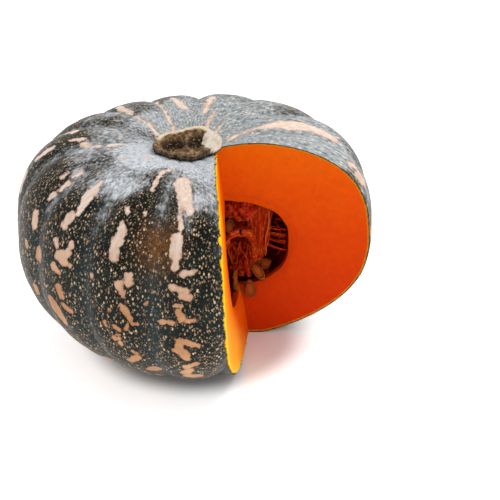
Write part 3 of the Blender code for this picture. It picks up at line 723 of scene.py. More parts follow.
def makeFleshMaterial():
    # Raw squash flesh, cut with a knife: dense and moist, light goes a few mm into it, so it glows deep
    # orange with a satin face, yellow under the rind and redder round the seed cavity.
    material, tree, shader = newMaterial("raw squash flesh, knife cut", 0.55, 1.36, Specular_IOR_Level=0.06,
                                         Subsurface_Weight=0.18, Subsurface_Radius=(1.0, 0.28, 0.05),
                                         Subsurface_Scale=0.004)
    layers = addNode(tree, "ShaderNodeAttribute", {"attribute_name": "layers"}).outputs["Vector"]
    layers = addNode(tree, "ShaderNodeSeparateXYZ", {}, {0: layers}).outputs
    place = addNode(tree, "ShaderNodeTexCoord").outputs["Object"]
    inPlace = addNode(tree, "ShaderNodeSeparateXYZ", {}, {0: place}).outputs
    cloud = addNode(tree, "ShaderNodeTexNoise", {"Scale": 1 / 0.020, "Detail": 4.0, "Roughness": 0.55},
                    {"Vector": place})
    cells = addNode(tree, "ShaderNodeTexNoise", {"Scale": 1 / 0.0016, "Detail": 3.0, "Roughness": 0.7},
                    {"Vector": place})
    fibres = addNode(tree, "ShaderNodeTexNoise", {"Scale": 1 / 0.0045, "Detail": 3.0, "Roughness": 0.65},
                     {"Vector": place})

    level = addNode(tree, "ShaderNodeMath", {"operation": "MULTIPLY_ADD", 1: 0.030, 2: -0.015},
                    {0: cloud})
    level = addNode(tree, "ShaderNodeMath", {"operation": "ADD"}, {0: level, 1: inPlace[2]})
    level = addNode(tree, "ShaderNodeMapRange", {"From Min": 0.020, "From Max": 0.165}, {"Value": level})
    right = addNode(tree, "ShaderNodeValToRGB",
                    {"stops": ((0.0, "#c43200"), (0.45, "#d44200"), (0.75, "#e05200"), (1.0, "#e66400"))},
                    {0: level})
    # on the left face the yellow fades inwards from the rind, and towards the corner of the notch, where
    # the fade is painted shade
    deep = addNode(tree, "ShaderNodeMath", {"operation": "MULTIPLY_ADD", 1: 900.0, 2: 55.0},
                   {0: inPlace[1]})
    deep = addNode(tree, "ShaderNodeMath", {"operation": "MAXIMUM", 1: 0.0}, {0: deep})
    deep = addNode(tree, "ShaderNodeMath", {"operation": "ADD"}, {0: deep, 1: layers[0]})
    inwards = addNode(tree, "ShaderNodeMapRange", {"From Min": 1.0, "From Max": 56.0}, {"Value": deep})
    left = addNode(tree, "ShaderNodeValToRGB",
                   {"stops": ((0.0, "#ffb80c"), (0.16, "#faa006"), (0.55, "#f48802"), (1.0, "#dc4e00"))},
                   {0: inwards})
    # the left face takes the brighter, yellower ramp: partly flesh nearer the rind, partly painted light on
    # the face that the key lamp lights
    body = addNode(tree, "ShaderNodeMix", {"data_type": "RGBA"}, {0: layers[2], 6: right, 7: left})

    streak = addNode(tree, "ShaderNodeMapRange",
                     {"From Min": 0.30, "From Max": 0.70, "To Min": 0.93, "To Max": 1.05},
                     {"Value": fibres})
    body = addNode(tree, "ShaderNodeVectorMath", {"operation": "SCALE"}, {0: body, "Scale": streak})

    # the fine darker ring of vessels round the cavity, and the redder skin next to it
    uneven = addNode(tree, "ShaderNodeMath", {"operation": "MULTIPLY_ADD", 1: 5.0, 2: -2.5}, {0: cloud})
    ringAt = addNode(tree, "ShaderNodeMath", {"operation": "ADD"}, {0: uneven, 1: layers[1]})
    ringAt = addNode(tree, "ShaderNodeMath", {"operation": "DIVIDE", 1: 14.0}, {0: ringAt})
    vessel = addNode(tree, "ShaderNodeValToRGB",
                     {"stops": ((0.0, "#000000"), (0.08, "#202020"), (0.26, "#303030"), (0.38, "#8c8c8c"),
                                (0.52, "#202020"), (1.0, "#000000"))},
                     {0: ringAt})
    body = addNode(tree, "ShaderNodeMix", {"data_type": "RGBA", 7: hexColour("#b82a04")},
                   {0: vessel, 6: body})

    # yellow-green band just under the rind
    under = addNode(tree, "ShaderNodeMath", {"operation": "MULTIPLY_ADD", 1: 1.6, 2: -0.8}, {0: cells})
    under = addNode(tree, "ShaderNodeMath", {"operation": "ADD"}, {0: under, 1: layers[0]})
    band = addNode(tree, "ShaderNodeMapRange",
                   {"interpolation_type": "SMOOTHSTEP", "From Min": 2.7, "From Max": 1.5},
                   {"Value": under})
    # on the left face the band is paler and yellower, partly as painted light
    bandColour = addNode(tree, "ShaderNodeMix",
                         {"data_type": "RGBA", 6: hexColour("#dc7c0c"), 7: hexColour("#ffd82a")},
                         {0: layers[2]})
    body = addNode(tree, "ShaderNodeMix", {"data_type": "RGBA"}, {0: band, 6: body, 7: bandColour})

    # one dried vessel end on the left face: a brown dot in a pale ring
    dot = addNode(tree, "ShaderNodeVectorMath", {"operation": "DISTANCE", 1: flesh["vesselEndAt"]},
                  {0: place})
    ringMask = addNode(tree, "ShaderNodeMapRange", {"From Min": 0.0022, "From Max": 0.0014},
                       {"Value": dot.outputs["Value"]})
    body = addNode(tree, "ShaderNodeMix", {"data_type": "RGBA", 7: hexColour("#ffdf9a")},
                   {0: ringMask, 6: body})
    dotMask = addNode(tree, "ShaderNodeMapRange", {"From Min": 0.0011, "From Max": 0.0006},
                      {"Value": dot.outputs["Value"]})
    body = addNode(tree, "ShaderNodeMix", {"data_type": "RGBA", 7: hexColour("#7a3a1c")},
                   {0: dotMask, 6: body})
    tree.links.new(body.outputs[2], shader.inputs["Base Color"])

    rough = addNode(tree, "ShaderNodeMapRange", {"To Min": 0.36, "To Max": 0.58}, {"Value": cells})
    tree.links.new(rough.outputs[0], shader.inputs["Roughness"])
    height = addNode(tree, "ShaderNodeMath", {"operation": "MULTIPLY_ADD", 1: 0.6}, {0: fibres, 2: cells})
    bump = addNode(tree, "ShaderNodeBump", {"Strength": 0.45, "Distance": 0.0003}, {"Height": height})
    tree.links.new(bump.outputs[0], shader.inputs["Normal"])
    return material


# Pulp: a ragged lining, lumps under the ceiling, the twisted bundle and many threads

pulp = {
    "around": 170, "upwards": 86, "gap": 0.6 * mm, "thin": 2.0 * mm, "more": 3.5 * mm, "tatter": 1.3 * mm,
    "thinsOut": (4 * mm, 26 * mm), "recess": 5.0 * mm, "smallestScrap": 60,
    "lumpGrid": (58, 32), "hiddenLumpGrid": (30, 18), "seenLumps": 9,
    "lumpNoise": (6 * mm, 3.4 * mm, 1.1 * mm),
    # the broad curtain of fibres: height from -1 to 1, its middle and half width there in mm
    "curtainGrid": (120, 90),
    "curtain": ((-1, 46.5, 4.5), (-0.5, 47, 6.5), (0, 47.5, 9.0), (0.6, 48.5, 10.5), (1, 49.5, 10.5)),
    "curtainBack": (13.5, 2, 5), "curtainUp": (-2.5, 28), "cords": 1.1, "folds": 2.0,
    "seed": 8, "sides": 5, "strands": 26, "strandRadius": (0.9 * mm, 1.6 * mm), "strandFan": (-12, 210),
    "strandRises": (-60, 65), "strandSag": 0.008, "strandsFrom": math.radians(35),
    "hub": (0.026, 0.017, 0.0), "hubSpread": 0.004,
    "bundleRadius": 2.8 * mm, "bundleTwist": 1.1, "bundleFibres": 7,
    "bundleRoute": ((-0.004, 0.056, 0.009), (0.010, 0.034, 0.009), (0.024, 0.018, 0.004),
                    (0.037, 0.014, -0.003), (0.046, 0.016, -0.016), (0.050, 0.019, -0.036)),
    # mm, over the dark hollow at the left
    "archRoute": ((13, -20, -8), (19.5, -13, -1), (26, -6, 1.5), (33, 2, 1), (39.5, 5.5, -1),
                  (43.5, 6.5, -7), (44.5, 8, -17), (43, 9, -27)),
    "bridges": ((1.5, 3), (-4.0, 4), (-8.5, 4), (10, 2), (-15, 2)),                # level in mm, how many
    "fanThreads": 110, "wallThreads": 260, "archThreads": 44, "tangle": 110, "sheathThreads": 7,
    "fills": 0.985, "behindCut": 0.8 * mm,
}
# lumps of soft flesh: place and half sizes in mm
pulpLumps = (((29, 9, 20), (10, 8, 8)), ((38, 9, 19), (9, 8, 8)), ((33, 12, 12), (10, 7, 5)),
             ((45, 10, 21), (6, 6, 6)), ((31, 14, -20), (8, 6, 11)),
             ((38, 14, -24), (6, 5, 7)), ((16, 8, -10), (8, 9, 12)), ((12, 30, 14), (12, 10, 8)),
             ((27, 4, -38), (5, 5, 6)), ((34, 7, -36), (4, 4, 5)),
             ((-10, 40, 5), (14, 10, 12)), ((20, 48, -10), (14, 8, 12)), ((-30, 30, -5), (12, 14, 12)),
             ((-42, 5, 0), (10, 16, 12)), ((-20, -20, 12), (12, 12, 8)), ((0, 10, 20), (16, 14, 6)),
             ((-30, -32, -20), (12, 10, 10)))


def lumpMesh(at, half, number):
    around, rise, faces = sphereGrid(*pulp["lumpGrid" if number < pulp["seenLumps"] else "hiddenLumpGrid"])
    ball = np.stack((np.cos(around) * np.cos(rise), np.sin(around) * np.cos(rise), np.sin(rise)), -1)
    centre = np.array(at) * mm
    shaped = ball * np.array(half) * mm + centre
    large, creased, fine = pulp["lumpNoise"]
    creases = np.abs(noiseAt(shaped, creased, 40 + number))
    swell = 1.1 + 0.5 * noiseAt(shaped, large, 20 + number) - 0.5 * creases
    swell += 0.12 * noiseAt(shaped, fine, 70 + number, (1, 1, 0.4))
    return centre + (shaped - centre) * swell[:, None], faces


def curtainMesh():
    # the broad curtain of fibres near the opening: wide under the ceiling, narrow at its foot
    p = pulp
    around, rise, faces = sphereGrid(*p["curtainGrid"])
    v = np.sin(rise)
    rounding = (1 - np.abs(v) ** 5) ** 0.5
    heights, middles, halves = np.array(p["curtain"]).T
    back, bulge, halfBack = p["curtainBack"]
    level, halfHeight = p["curtainUp"]
    x = np.interp(v, heights, middles) + np.interp(v, heights, halves) * np.cos(around) * rounding
    y = back - bulge * np.cos(2 * v) + halfBack * np.sin(around) * rounding
    points = np.stack((x, y, level + halfHeight * v), -1) * mm
    cords = noiseAt(points, 1.9 * mm, 61, (1, 1, 0.16)) + 0.6 * noiseAt(points, 0.9 * mm, 62, (1, 1, 0.2))
    folds = noiseAt(points, 8 * mm, 63, (1, 1, 0.6))
    push = (p["cords"] * cords + p["folds"] * folds) * mm
    points[:, 0] += push * np.cos(around)
    points[:, 1] += push * np.sin(around)
    return points, faces


def threadTree():
    # polylines with a "thick" attribute become closed round threads
    tree = newTree("pulp threads", Thickness="Float", Sides="Int", Material="Material")
    given = addNode(tree, "NodeGroupInput").outputs
    thick = addNode(tree, "GeometryNodeInputNamedAttribute", {"data_type": "FLOAT", "Name": "thick"})
    scale = addNode(tree, "ShaderNodeMath", {"operation": "MULTIPLY"}, {0: thick, 1: given["Thickness"]})
    path = addNode(tree, "GeometryNodeMeshToCurve", {}, {"Mesh": given["Geometry"]})
    ring = addNode(tree, "GeometryNodeCurvePrimitiveCircle", {"Radius": 1.0},
                   {"Resolution": given["Sides"]})
    tube = addNode(tree, "GeometryNodeCurveToMesh", {"Fill Caps": True},
                   {"Curve": path, "Profile Curve": ring, "Scale": scale})
    real = addNode(tree, "GeometryNodeRealizeInstances", {}, {0: tube})
    painted = addNode(tree, "GeometryNodeSetMaterial", {},
                      {"Geometry": real, "Material": given["Material"]})
    addNode(tree, "NodeGroupOutput", {}, {0: painted})
    return tree


def setInputs(modifier, **values):
    # a modifier's inputs are set by their sockets' identifiers
    for item in modifier.node_group.interface.items_tree:
        if item.item_type == "SOCKET" and item.in_out == "INPUT" and item.name in values:
            modifier[item.identifier] = values[item.name]


def bezier(a, b, c, steps):
    t = np.linspace(0, 1, steps)[:, None]
    return a * (1 - t) ** 2 + b * 2 * t * (1 - t) + c * t ** 2


def resampled(route, count):
    # the same route with more points and softer corners
    steps = np.linspace(0, len(route) - 1, count)
    dense = np.stack([np.interp(steps, np.arange(len(route)), route[:, axis]) for axis in range(3)], -1)
    dense[1:-1] = (dense[:-2] + 2 * dense[1:-1] + dense[2:]) / 4
    return dense


def pulpThreads():
    # every thread as (points, thickness at each point, tone), where a low tone is partly the thread's own
    # darker red and partly painted shade
    p = pulp
    rng = random.Random(p["seed"])
    own = random.Random(p["seed"] + 100)
    threads = []

    def spread(size):
        return np.array([own.uniform(-size, size) for axis in "xyz"]) * mm

    def wandering(path, size, by):
        return np.stack([noiseAt(path, size, own.uniform(0, 50)) for axis in range(3)], -1) * by * mm

    def even(steps, least, most):
        return np.full(steps, own.uniform(least, most) * mm)

    def frayed(route, radius, fibres, loose=0.6, by=0.5):
        # one thick strand as several thin fibres, wound loosely round its route
        dense = resampled(np.array(route), 4 * len(route))
        tapered = 0.55 + 0.45 * np.sin(np.linspace(0.25, math.pi - 0.25, len(dense)))
        for fibre in range(fibres):
            start = own.uniform(0, 2 * math.pi)
            twist = own.uniform(0.15, 0.4) * own.choice((-1, 1))
            turn = start + twist * np.arange(len(dense))
            around = np.stack((np.cos(turn), np.sin(turn) * 0.7, np.sin(turn)), -1)
            aside = around * radius * own.uniform(0.2, loose)
            thick = radius * own.uniform(0.35, 0.6) * tapered
            threads.append((dense + aside + wandering(dense, 5 * mm, by), thick, 0.0))

    # the bundle and the strands follow the same routes as the solids
    for twist in range(3):
        route = []
        for number, place in enumerate(p["bundleRoute"]):
            turn = 2 * math.pi * twist / 3 + p["bundleTwist"] * number
            aside = np.array((0, math.cos(turn), math.sin(turn))) * p["bundleRadius"] * 0.9
            route.append(np.array(place) + aside)
        frayed(route, p["bundleRadius"], p["bundleFibres"])
    firstAzimuth, fanWidth = p["strandFan"]
    hubSpread, sag = p["hubSpread"], p["strandSag"]
    for number in range(p["strands"]):
        azimuth = math.radians(firstAzimuth + fanWidth * (number * 0.618 % 1))
        rise = math.radians(rng.uniform(*p["strandRises"]))
        end = cavityPoint(np.array(azimuth), np.array(rise))
        start = np.array(p["hub"]) + np.array([rng.uniform(-hubSpread, hubSpread) for axis in "xyz"])
        halfway = (start + end) / 2 + np.array([rng.uniform(-sag, sag) for axis in "xyz"])
        radius = rng.uniform(*p["strandRadius"])
        if azimuth > p["strandsFrom"]:      # nearer the opening are the fan and the short fibres below
            frayed(bezier(start, halfway, end, 7), radius * 0.7, 4, 1.1, 2.2)

    # the broad fan that hangs from the ceiling near the opening, u from its left edge to its right one
    for number in range(p["fanThreads"]):
        u = own.uniform(0, 1)
        back = own.uniform(7.5, 12)
        top = np.array((40 + 17 * u, back + 1, 25 - 5 * u ** 2)) * mm + spread(0.8)
        waist = np.array((42 + 13 * u + 1.5 * math.sin(6 * u), back - 2 + 2 * math.cos(9 * u), -4)) * mm
        waist = waist + spread(1.6)
        foot = np.array((42 + 9 * u, back + 1, -30 + 6 * u)) * mm + spread(2)
        path = bezier(top, waist * 2 - (top + foot) / 2, foot, 9)
        path += wandering(path, 7 * mm, 1.6)
        threads.append((path, even(9, 0.25, 0.65) * np.linspace(1.1, 0.7, 9), own.uniform(0.0, 0.55)))
    # short fibres that bridge from the fan to the right wall
    for level, count in p["bridges"]:
        for number in range(count):
            a = np.array((54, 9.5, level)) * mm + spread(0.9)
            b = np.array((67.5, 5.5, level - 1.5)) * mm + spread(1.4)
            path = bezier(a, (a + b) / 2 + spread(1.2) - np.array((0, 0, 1.2 * mm)), b, 7)
            threads.append((path, even(7, 0.22, 0.5), 0.15))
    # parallel red fibres of the arch
    arch = np.array(p["archRoute"])
    for number in range(p["archThreads"]):
        shift = spread(1.9)
        lift = own.uniform(-2.6, 2.2)
        path = arch * mm + shift + np.array((0, 0, lift)) * mm * np.linspace(0.4, 1, len(arch))[:, None]
        threads.append((resampled(path, 22), even(22, 0.3, 0.8), own.uniform(0.0, 0.5)))
    # the tangle under the arch, down to the lip
    for number in range(p["tangle"]):
        a = np.array((own.uniform(24, 40), own.uniform(6, 14), own.uniform(-10, -20))) * mm
        b = np.array((own.uniform(26, 42), own.uniform(3, 12), own.uniform(-26, -42))) * mm
        path = bezier(a, (a + b) / 2 + spread(7), b, 9)
        threads.append((path, even(9, 0.25, 0.8), own.uniform(-0.2, 0.3)))
    # the sheath that the hanging seed is left on
    for number in range(p["sheathThreads"]):
        a = np.array((39.4, 1.5, -38.5)) * mm + spread(0.8)
        b = np.array((37.5, 4.0, -25.0)) * mm + spread(1.6)
        threads.append((bezier(a, (a + b) / 2 + spread(1.0), b, 9), even(9, 0.5, 1.0), 0.25))
    # threads that hang and cross along the walls all round
    for number in range(p["wallThreads"]):
        azimuth = own.uniform(0, 2 * math.pi)
        rise = own.uniform(-1.2, 1.25)
        inset = own.uniform(3, 9) * mm
        turns = azimuth + np.linspace(0, own.uniform(-0.9, 0.9), 11)
        rises = rise + np.linspace(0, own.uniform(-0.8, 0.8), 11)
        path = cavityPoint(turns, np.clip(rises, -1.4, 1.4), inset)
        path = path + wandering(path, 9 * mm, 3)
        if ((path[:, 0] > cutX(path[:, 1], path[:, 2]) - 2 * mm) & (path[:, 1] < 4 * mm)).any():
            continue        # none hangs across the notch
        # threads along the walls are given a low tone: painted shade deep in the cavity
        threads.append((path, even(11, 0.25, 0.8), -0.3))
    return threads


def makePulp(cutter, material):
    p = pulp
    azimuth, rise, faces = sphereGrid(p["around"], p["upwards"])
    wall = cavityPoint(azimuth, rise, p["gap"])
    lining = addPiece("stringyPulp", wall, faces)
    ridges = 0.5 + 0.25 * np.sin(5 * azimuth + 2 * rise) + 0.25 * np.sin(3 * azimuth - 4 * rise + 1)
    tatter = noiseAt(wall, 8 * mm, 8) + 0.6 * noiseAt(wall, 3 * mm, 9) + 0.35 * noiseAt(wall, 1.4 * mm, 10)
    # the lining thins out towards the opening
    x, y, z = wall.T
    full = smoothStep(*p["thinsOut"], np.maximum(y, cutX(y, z) - x))
    depth = p["gap"] + 0.4 * mm + full * (p["thin"] + p["more"] * ridges + p["tatter"] * tatter)
    depth = np.maximum(depth, p["gap"] + 0.3 * mm)
    inner = addPiece("pulp hollow", cavityPoint(azimuth, rise, depth), faces)
    cutAway(lining, inner, cutter)
    bpy.data.objects.remove(inner)
    dropScraps(lining, p["smallestScrap"])

    points, edges, thick, tones = [], [], [], []
    for path, radii, tone in pulpThreads():
        first = len(points)
        points += path.tolist()
        edges += [(first + i, first + i + 1) for i in range(len(path) - 1)]
        thick += np.broadcast_to(radii, len(path)).tolist()
        tones += [tone] * len(path)
    mesh = bpy.data.meshes.new("pulp threads")
    mesh.from_pydata(points, edges, [])
    threads = bpy.data.objects.new("pulp threads", mesh)
    bpy.context.scene.collection.objects.link(threads)
    storeAttribute(threads, "thick", np.array(thick))
    storeAttribute(threads, "threadTone", np.array(tones))
    modifier = threads.modifiers.new("threads", "NODES")
    modifier.node_group = threadTree()
    setInputs(modifier, Thickness=1.0, Sides=p["sides"], Material=material)
    bakeModifiers(threads)

    bm = bmesh.new()
    bm.from_mesh(lining.data)
    bm.from_mesh(threads.data)
    threadTonesAndShade = np.zeros(len(threads.data.vertices))
    threads.data.attributes["threadTone"].data.foreach_get("value", threadTonesAndShade)
    # the lining, deep in the cavity, is given the lowest tone: painted shade
    pieceTonesAndShade = [np.full(len(lining.data.vertices), -0.5), threadTonesAndShade]
    masses = [(*lumpMesh(at, half, number), 0.0) for number, (at, half) in enumerate(pulpLumps)]
    masses.append((*curtainMesh(), 0.25))
    for mass, massFaces, massToneAndShade in masses:
        verts = [bm.verts.new(point) for point in mass]
        for face in massFaces:
            bm.faces.new([verts[i] for i in face])
        pieceTonesAndShade.append(np.full(len(mass), massToneAndShade))
    bm.to_mesh(lining.data)
    bm.free()
    bpy.data.objects.remove(threads)
    points = keepInside(pointsOf(lining))
    movePoints(lining, points)
    storeAttribute(lining, "tone", np.concatenate(pieceTonesAndShade) + 0.45 * noiseAt(points, 9 * mm, 12))
    return lining


def keepInside(points):
    # pulls points that left the cavity back to its wall, and points that stand out of the cut faces back
    # behind them
    q = squash
    power, level = q["cavityPower"], q["cavityLevel"]
    x, y, z = points.T
    flat = np.hypot(x / q["cavityHalf"][0], y / q["cavityHalf"][1])
    up = (z - level) / np.where(z > level, q["cavityAbove"], q["cavityBelow"])
    size = (flat ** power + np.abs(up) ** power) ** (1 / power)
    shrink = np.where(size > pulp["fills"], pulp["fills"] / np.maximum(size, 1e-9), 1.0)
    centre = np.array((0, 0, level))
    points = centre + (points - centre) * shrink[:, None]
    edge = cutX(points[:, 1], points[:, 2]) - pulp["behindCut"]
    inNotch = (points[:, 0] > edge) & (points[:, 1] < pulp["behindCut"])
    toRight = pulp["behindCut"] - points[:, 1]
    toLeft = points[:, 0] - edge
    goBack = inNotch & (toRight < toLeft)
    goLeft = inNotch & ~goBack
    points[goBack, 1] += toRight[goBack]
    points[goLeft, 0] -= toLeft[goLeft]
    return points


def makePulpMaterial():
    # Wet stringy placenta of the squash: soft fibres full of juice, half gloss, red-orange, with painted
    # shade that makes it almost black-red deep in the cavity
    material, tree, shader = newMaterial("wet squash pulp fibre", 0.40, 1.36, Specular_IOR_Level=0.08,
                                         Subsurface_Weight=0.06, Subsurface_Radius=(1.0, 0.25, 0.08),
                                         Subsurface_Scale=0.002)
    place = addNode(tree, "ShaderNodeTexCoord").outputs["Object"]
    tone = addNode(tree, "ShaderNodeAttribute", {"attribute_name": "tone"})
    fine = addNode(tree, "ShaderNodeTexNoise", {"Scale": 1 / 0.0026, "Detail": 4.0, "Roughness": 0.65},
                   {"Vector": place})
    mixed = addNode(tree, "ShaderNodeMath", {"operation": "MULTIPLY_ADD", 1: 1.1, 2: -0.08}, {0: fine})
    mixed = addNode(tree, "ShaderNodeMath", {"operation": "MULTIPLY_ADD", 1: 0.5},
                    {0: tone.outputs["Fac"], 2: mixed})
    body = addNode(tree, "ShaderNodeValToRGB",
                   {"stops": ((0.08, "#140302"), (0.30, "#5c1004"), (0.46, "#a82206"), (0.62, "#bc380c"),
                              (0.85, "#cc682a"))},
                   {0: mixed})
    tree.links.new(body.outputs[0], shader.inputs["Base Color"])
    rough = addNode(tree, "ShaderNodeMapRange", {"To Min": 0.24, "To Max": 0.50}, {"Value": fine})
    tree.links.new(rough.outputs[0], shader.inputs["Roughness"])
    bump = addNode(tree, "ShaderNodeBump", {"Strength": 0.6, "Distance": 0.0006}, {"Height": fine})
    tree.links.new(bump.outputs[0], shader.inputs["Normal"])
    return material


# Seeds

seeds = {"half": (8.2 * mm, 4.7 * mm, 1.3 * mm), "around": 28, "depth": 7.8 * mm, "step": 6.2 * mm,
         # reach from the middle and share of the half thickness, from the rim to the middle of a face
         "profile": ((1.0, 0.0), (0.985, 0.45), (0.93, 0.80), (0.85, 0.92), (0.76, 0.80), (0.60, 0.78),
                     (0.35, 0.88), (0.0, 0.95)),
         "narrows": (0.30, 0.12), "slim": 0.94,
         "rowHalfWidth": 0.045, "rowStepUp": 0.8 * mm,
         "fanned": 0.5, "tipped": (0.05, 0.18), "rolled": 0.15, "seed": 7,
         # azimuth and rise of the first seed, how many, which way
         "rows": {"floor_right": (0.44, -0.76, 6, 1), "floor_middle": (1.35, -1.00, 5, 1),
                  "floor_left": (2.60, -0.80, 6, 1), "back": (1.00, -0.25, 6, 1),
                  "front": (-2.60, -0.75, 5, 1)},
         # place, the way the tip points, the way a face looks
         "lip": (((0.0405, -0.0026, -0.0472), (-0.15, 0.05, 1), (0, -1, 0.05)),
                 ((0.0330, 0.0100, -0.0375), (-0.8, -0.7, 0.05), (-0.1, 0, 1)),
                 ((0.0270, 0.0170, -0.0370), (-1, 0.3, -0.10), (0.1, 0.1, 1))),
         "loose": (((0.0246, 0.0110, 0.0005), (0.05, 0.2, -1), (0.5, -1, 0)),
                   ((0.0525, 0.0130, -0.0345), (1, 0.15, -0.05), (0.05, -0.8, 0.6)),
                   ((0.0462, 0.0038, -0.0355), (-0.56, 0.49, 0.67), (0.45, -0.8, 0.5)),
                   ((0.0285, -0.0040, -0.0385), (0.1, 0.3, 1), (1, -0.35, 0.1)),
                   ((0.0310, -0.0050, -0.0475), (-0.2, 0.3, 1), (0.9, -0.45, 0.2)),
                   ((0.0350, 0.0080, -0.0330), (0.2, 0.3, 1), (0.7, -0.7, 0.2)))}


def seedModel():
    # one seed: flat teardrop with a rounded rim round a slightly hollow face, tip towards +x
    s = seeds
    points, faces = [], []
    halfLong, halfWide, halfThick = s["half"]
    sides = [(1, s["profile"]), (-1, s["profile"][1:])]
    rings = {}
    for sign, rows in sides:
        for number, (reach, thick) in enumerate(rows):
            row = []
            z = sign * thick * halfThick
            if reach == 0:
                row = [len(points)]
                points.append((0.05 * halfLong, 0, z))
            else:
                for step in range(s["around"]):
                    turn = 2 * math.pi * step / s["around"]
                    x, y = math.cos(turn), math.sin(turn)
                    narrow = 1 - s["narrows"][0] * x - s["narrows"][1] * x * x
                    row.append(len(points))
                    points.append((x * reach * halfLong, y * reach * halfWide * narrow * s["slim"], z))
            rings[sign, number] = row
    for sign, rows in sides:
        chain = [rings[1, 0]] if sign == -1 else []
        chain += [rings[sign, number] for number in range(len(rows))]
        for outer, inner in zip(chain, chain[1:]):
            for i in range(len(outer)):
                j = (i + 1) % len(outer)
                face = (outer[i], outer[j], inner[0])
                if len(inner) > 1:
                    face = (outer[i], outer[j], inner[j], inner[i])
                faces.append(face if sign == 1 else face[::-1])
    model = addPiece("seed model", points, faces)
    facesOutwards(model)
    return model


def seedFrames(azimuth, rise, count, turn, rng):
    # a row of seeds along the wall, in turn above and below it, each a little over the last
    s = seeds
    frames = []
    for number in range(count):
        side = 1 if number % 2 else -1
        along = azimuth + turn * s["step"] * number / squash["cavityHalf"][0]
        up = rise + s["rowHalfWidth"] * side
        depth = s["depth"] + s["rowStepUp"] * side / 2
        at = Vector(cavityPoint(np.array(along), np.array(up), depth))
        deeper = Vector(cavityPoint(np.array(along), np.array(up), depth + s["half"][2]))
        inwards = (deeper - at).normalized()
        heading = Vector((-math.sin(along), math.cos(along), 0)) * turn
        rowwards = heading.cross(inwards).normalized() * side
        point = (rowwards + heading * rng.uniform(-s["fanned"], s["fanned"])).normalized()
        point = (point - inwards * point.dot(inwards)).normalized()
        turned = Matrix((point, inwards.cross(point), inwards)).transposed().to_4x4()
        tipped = Matrix.Rotation(rng.uniform(*s["tipped"]), 4, "Y")
        rolled = Matrix.Rotation(rng.uniform(-s["rolled"], s["rolled"]), 4, "X")
        frames.append(Matrix.Translation(at) @ turned @ (tipped @ rolled))
    return frames


def facing(at, point, flat):
    point = Vector(point).normalized()
    across = Vector(flat).cross(point).normalized()
    turned = Matrix((point, across, point.cross(across))).transposed().to_4x4()
    return Matrix.Translation(at) @ turned


def seedTree():
    # puts one seed on each point, turned by the point's "turned" attribute, with a tone of its own
    tree = newTree("seed cluster", Seed="Object", Size="Float", Material="Material")
    given = addNode(tree, "NodeGroupInput").outputs
    model = addNode(tree, "GeometryNodeObjectInfo", {}, {"Object": given["Seed"]})
    turned = addNode(tree, "GeometryNodeInputNamedAttribute",
                     {"data_type": "FLOAT_VECTOR", "Name": "turned"})
    copies = addNode(tree, "GeometryNodeInstanceOnPoints", {},
                     {"Points": given["Geometry"], "Instance": model.outputs["Geometry"],
                      "Rotation": turned, "Scale": given["Size"]})
    tone = addNode(tree, "FunctionNodeRandomValue", {"data_type": "FLOAT", "Seed": seeds["seed"]})
    toned = addNode(tree, "GeometryNodeStoreNamedAttribute",
                    {"data_type": "FLOAT", "domain": "INSTANCE", "Name": "tone"},
                    {"Geometry": copies, "Value": tone.outputs[1]})
    real = addNode(tree, "GeometryNodeRealizeInstances", {}, {0: toned})
    painted = addNode(tree, "GeometryNodeSetMaterial", {},
                      {"Geometry": real, "Material": given["Material"]})
    addNode(tree, "NodeGroupOutput", {}, {0: painted})
    return tree


def makeSeeds(material):
    rng = random.Random(seeds["seed"])
    clusters = {name: seedFrames(*row, rng) for name, row in seeds["rows"].items()}
    clusters["lip"] = [facing(*seed) for seed in seeds["lip"] + seeds["loose"]]
    model = seedModel()
    tree = seedTree()
    half = np.array(seeds["half"])
    for name, frames in clusters.items():
        mesh = bpy.data.meshes.new("seedCluster_" + name)
        mesh.from_pydata([frame.translation[:] for frame in frames], [], [])
        piece = bpy.data.objects.new("seedCluster_" + name, mesh)
        bpy.context.scene.collection.objects.link(piece)
        storeAttribute(piece, "turned", np.array([frame.to_euler()[:] for frame in frames]))
        modifier = piece.modifiers.new("seeds", "NODES")
        modifier.node_group = tree
        setInputs(modifier, Seed=model, Size=1.0, Material=material)
        bakeModifiers(piece)
        # each seed's own coordinates, for its rim and its streaks
        size = len(piece.data.vertices) // len(frames)
        points = pointsOf(piece).reshape(len(frames), size, 3)
        own = [(here - np.array(frame.translation)) @ np.array(frame.to_3x3())
               for here, frame in zip(points, frames)]
        storeAttribute(piece, "onSeed", (np.stack(own) / half).reshape(-1, 3))
        finishPiece(piece, material, ["seeds_" + name], sharp=60)
    bpy.data.objects.remove(model)


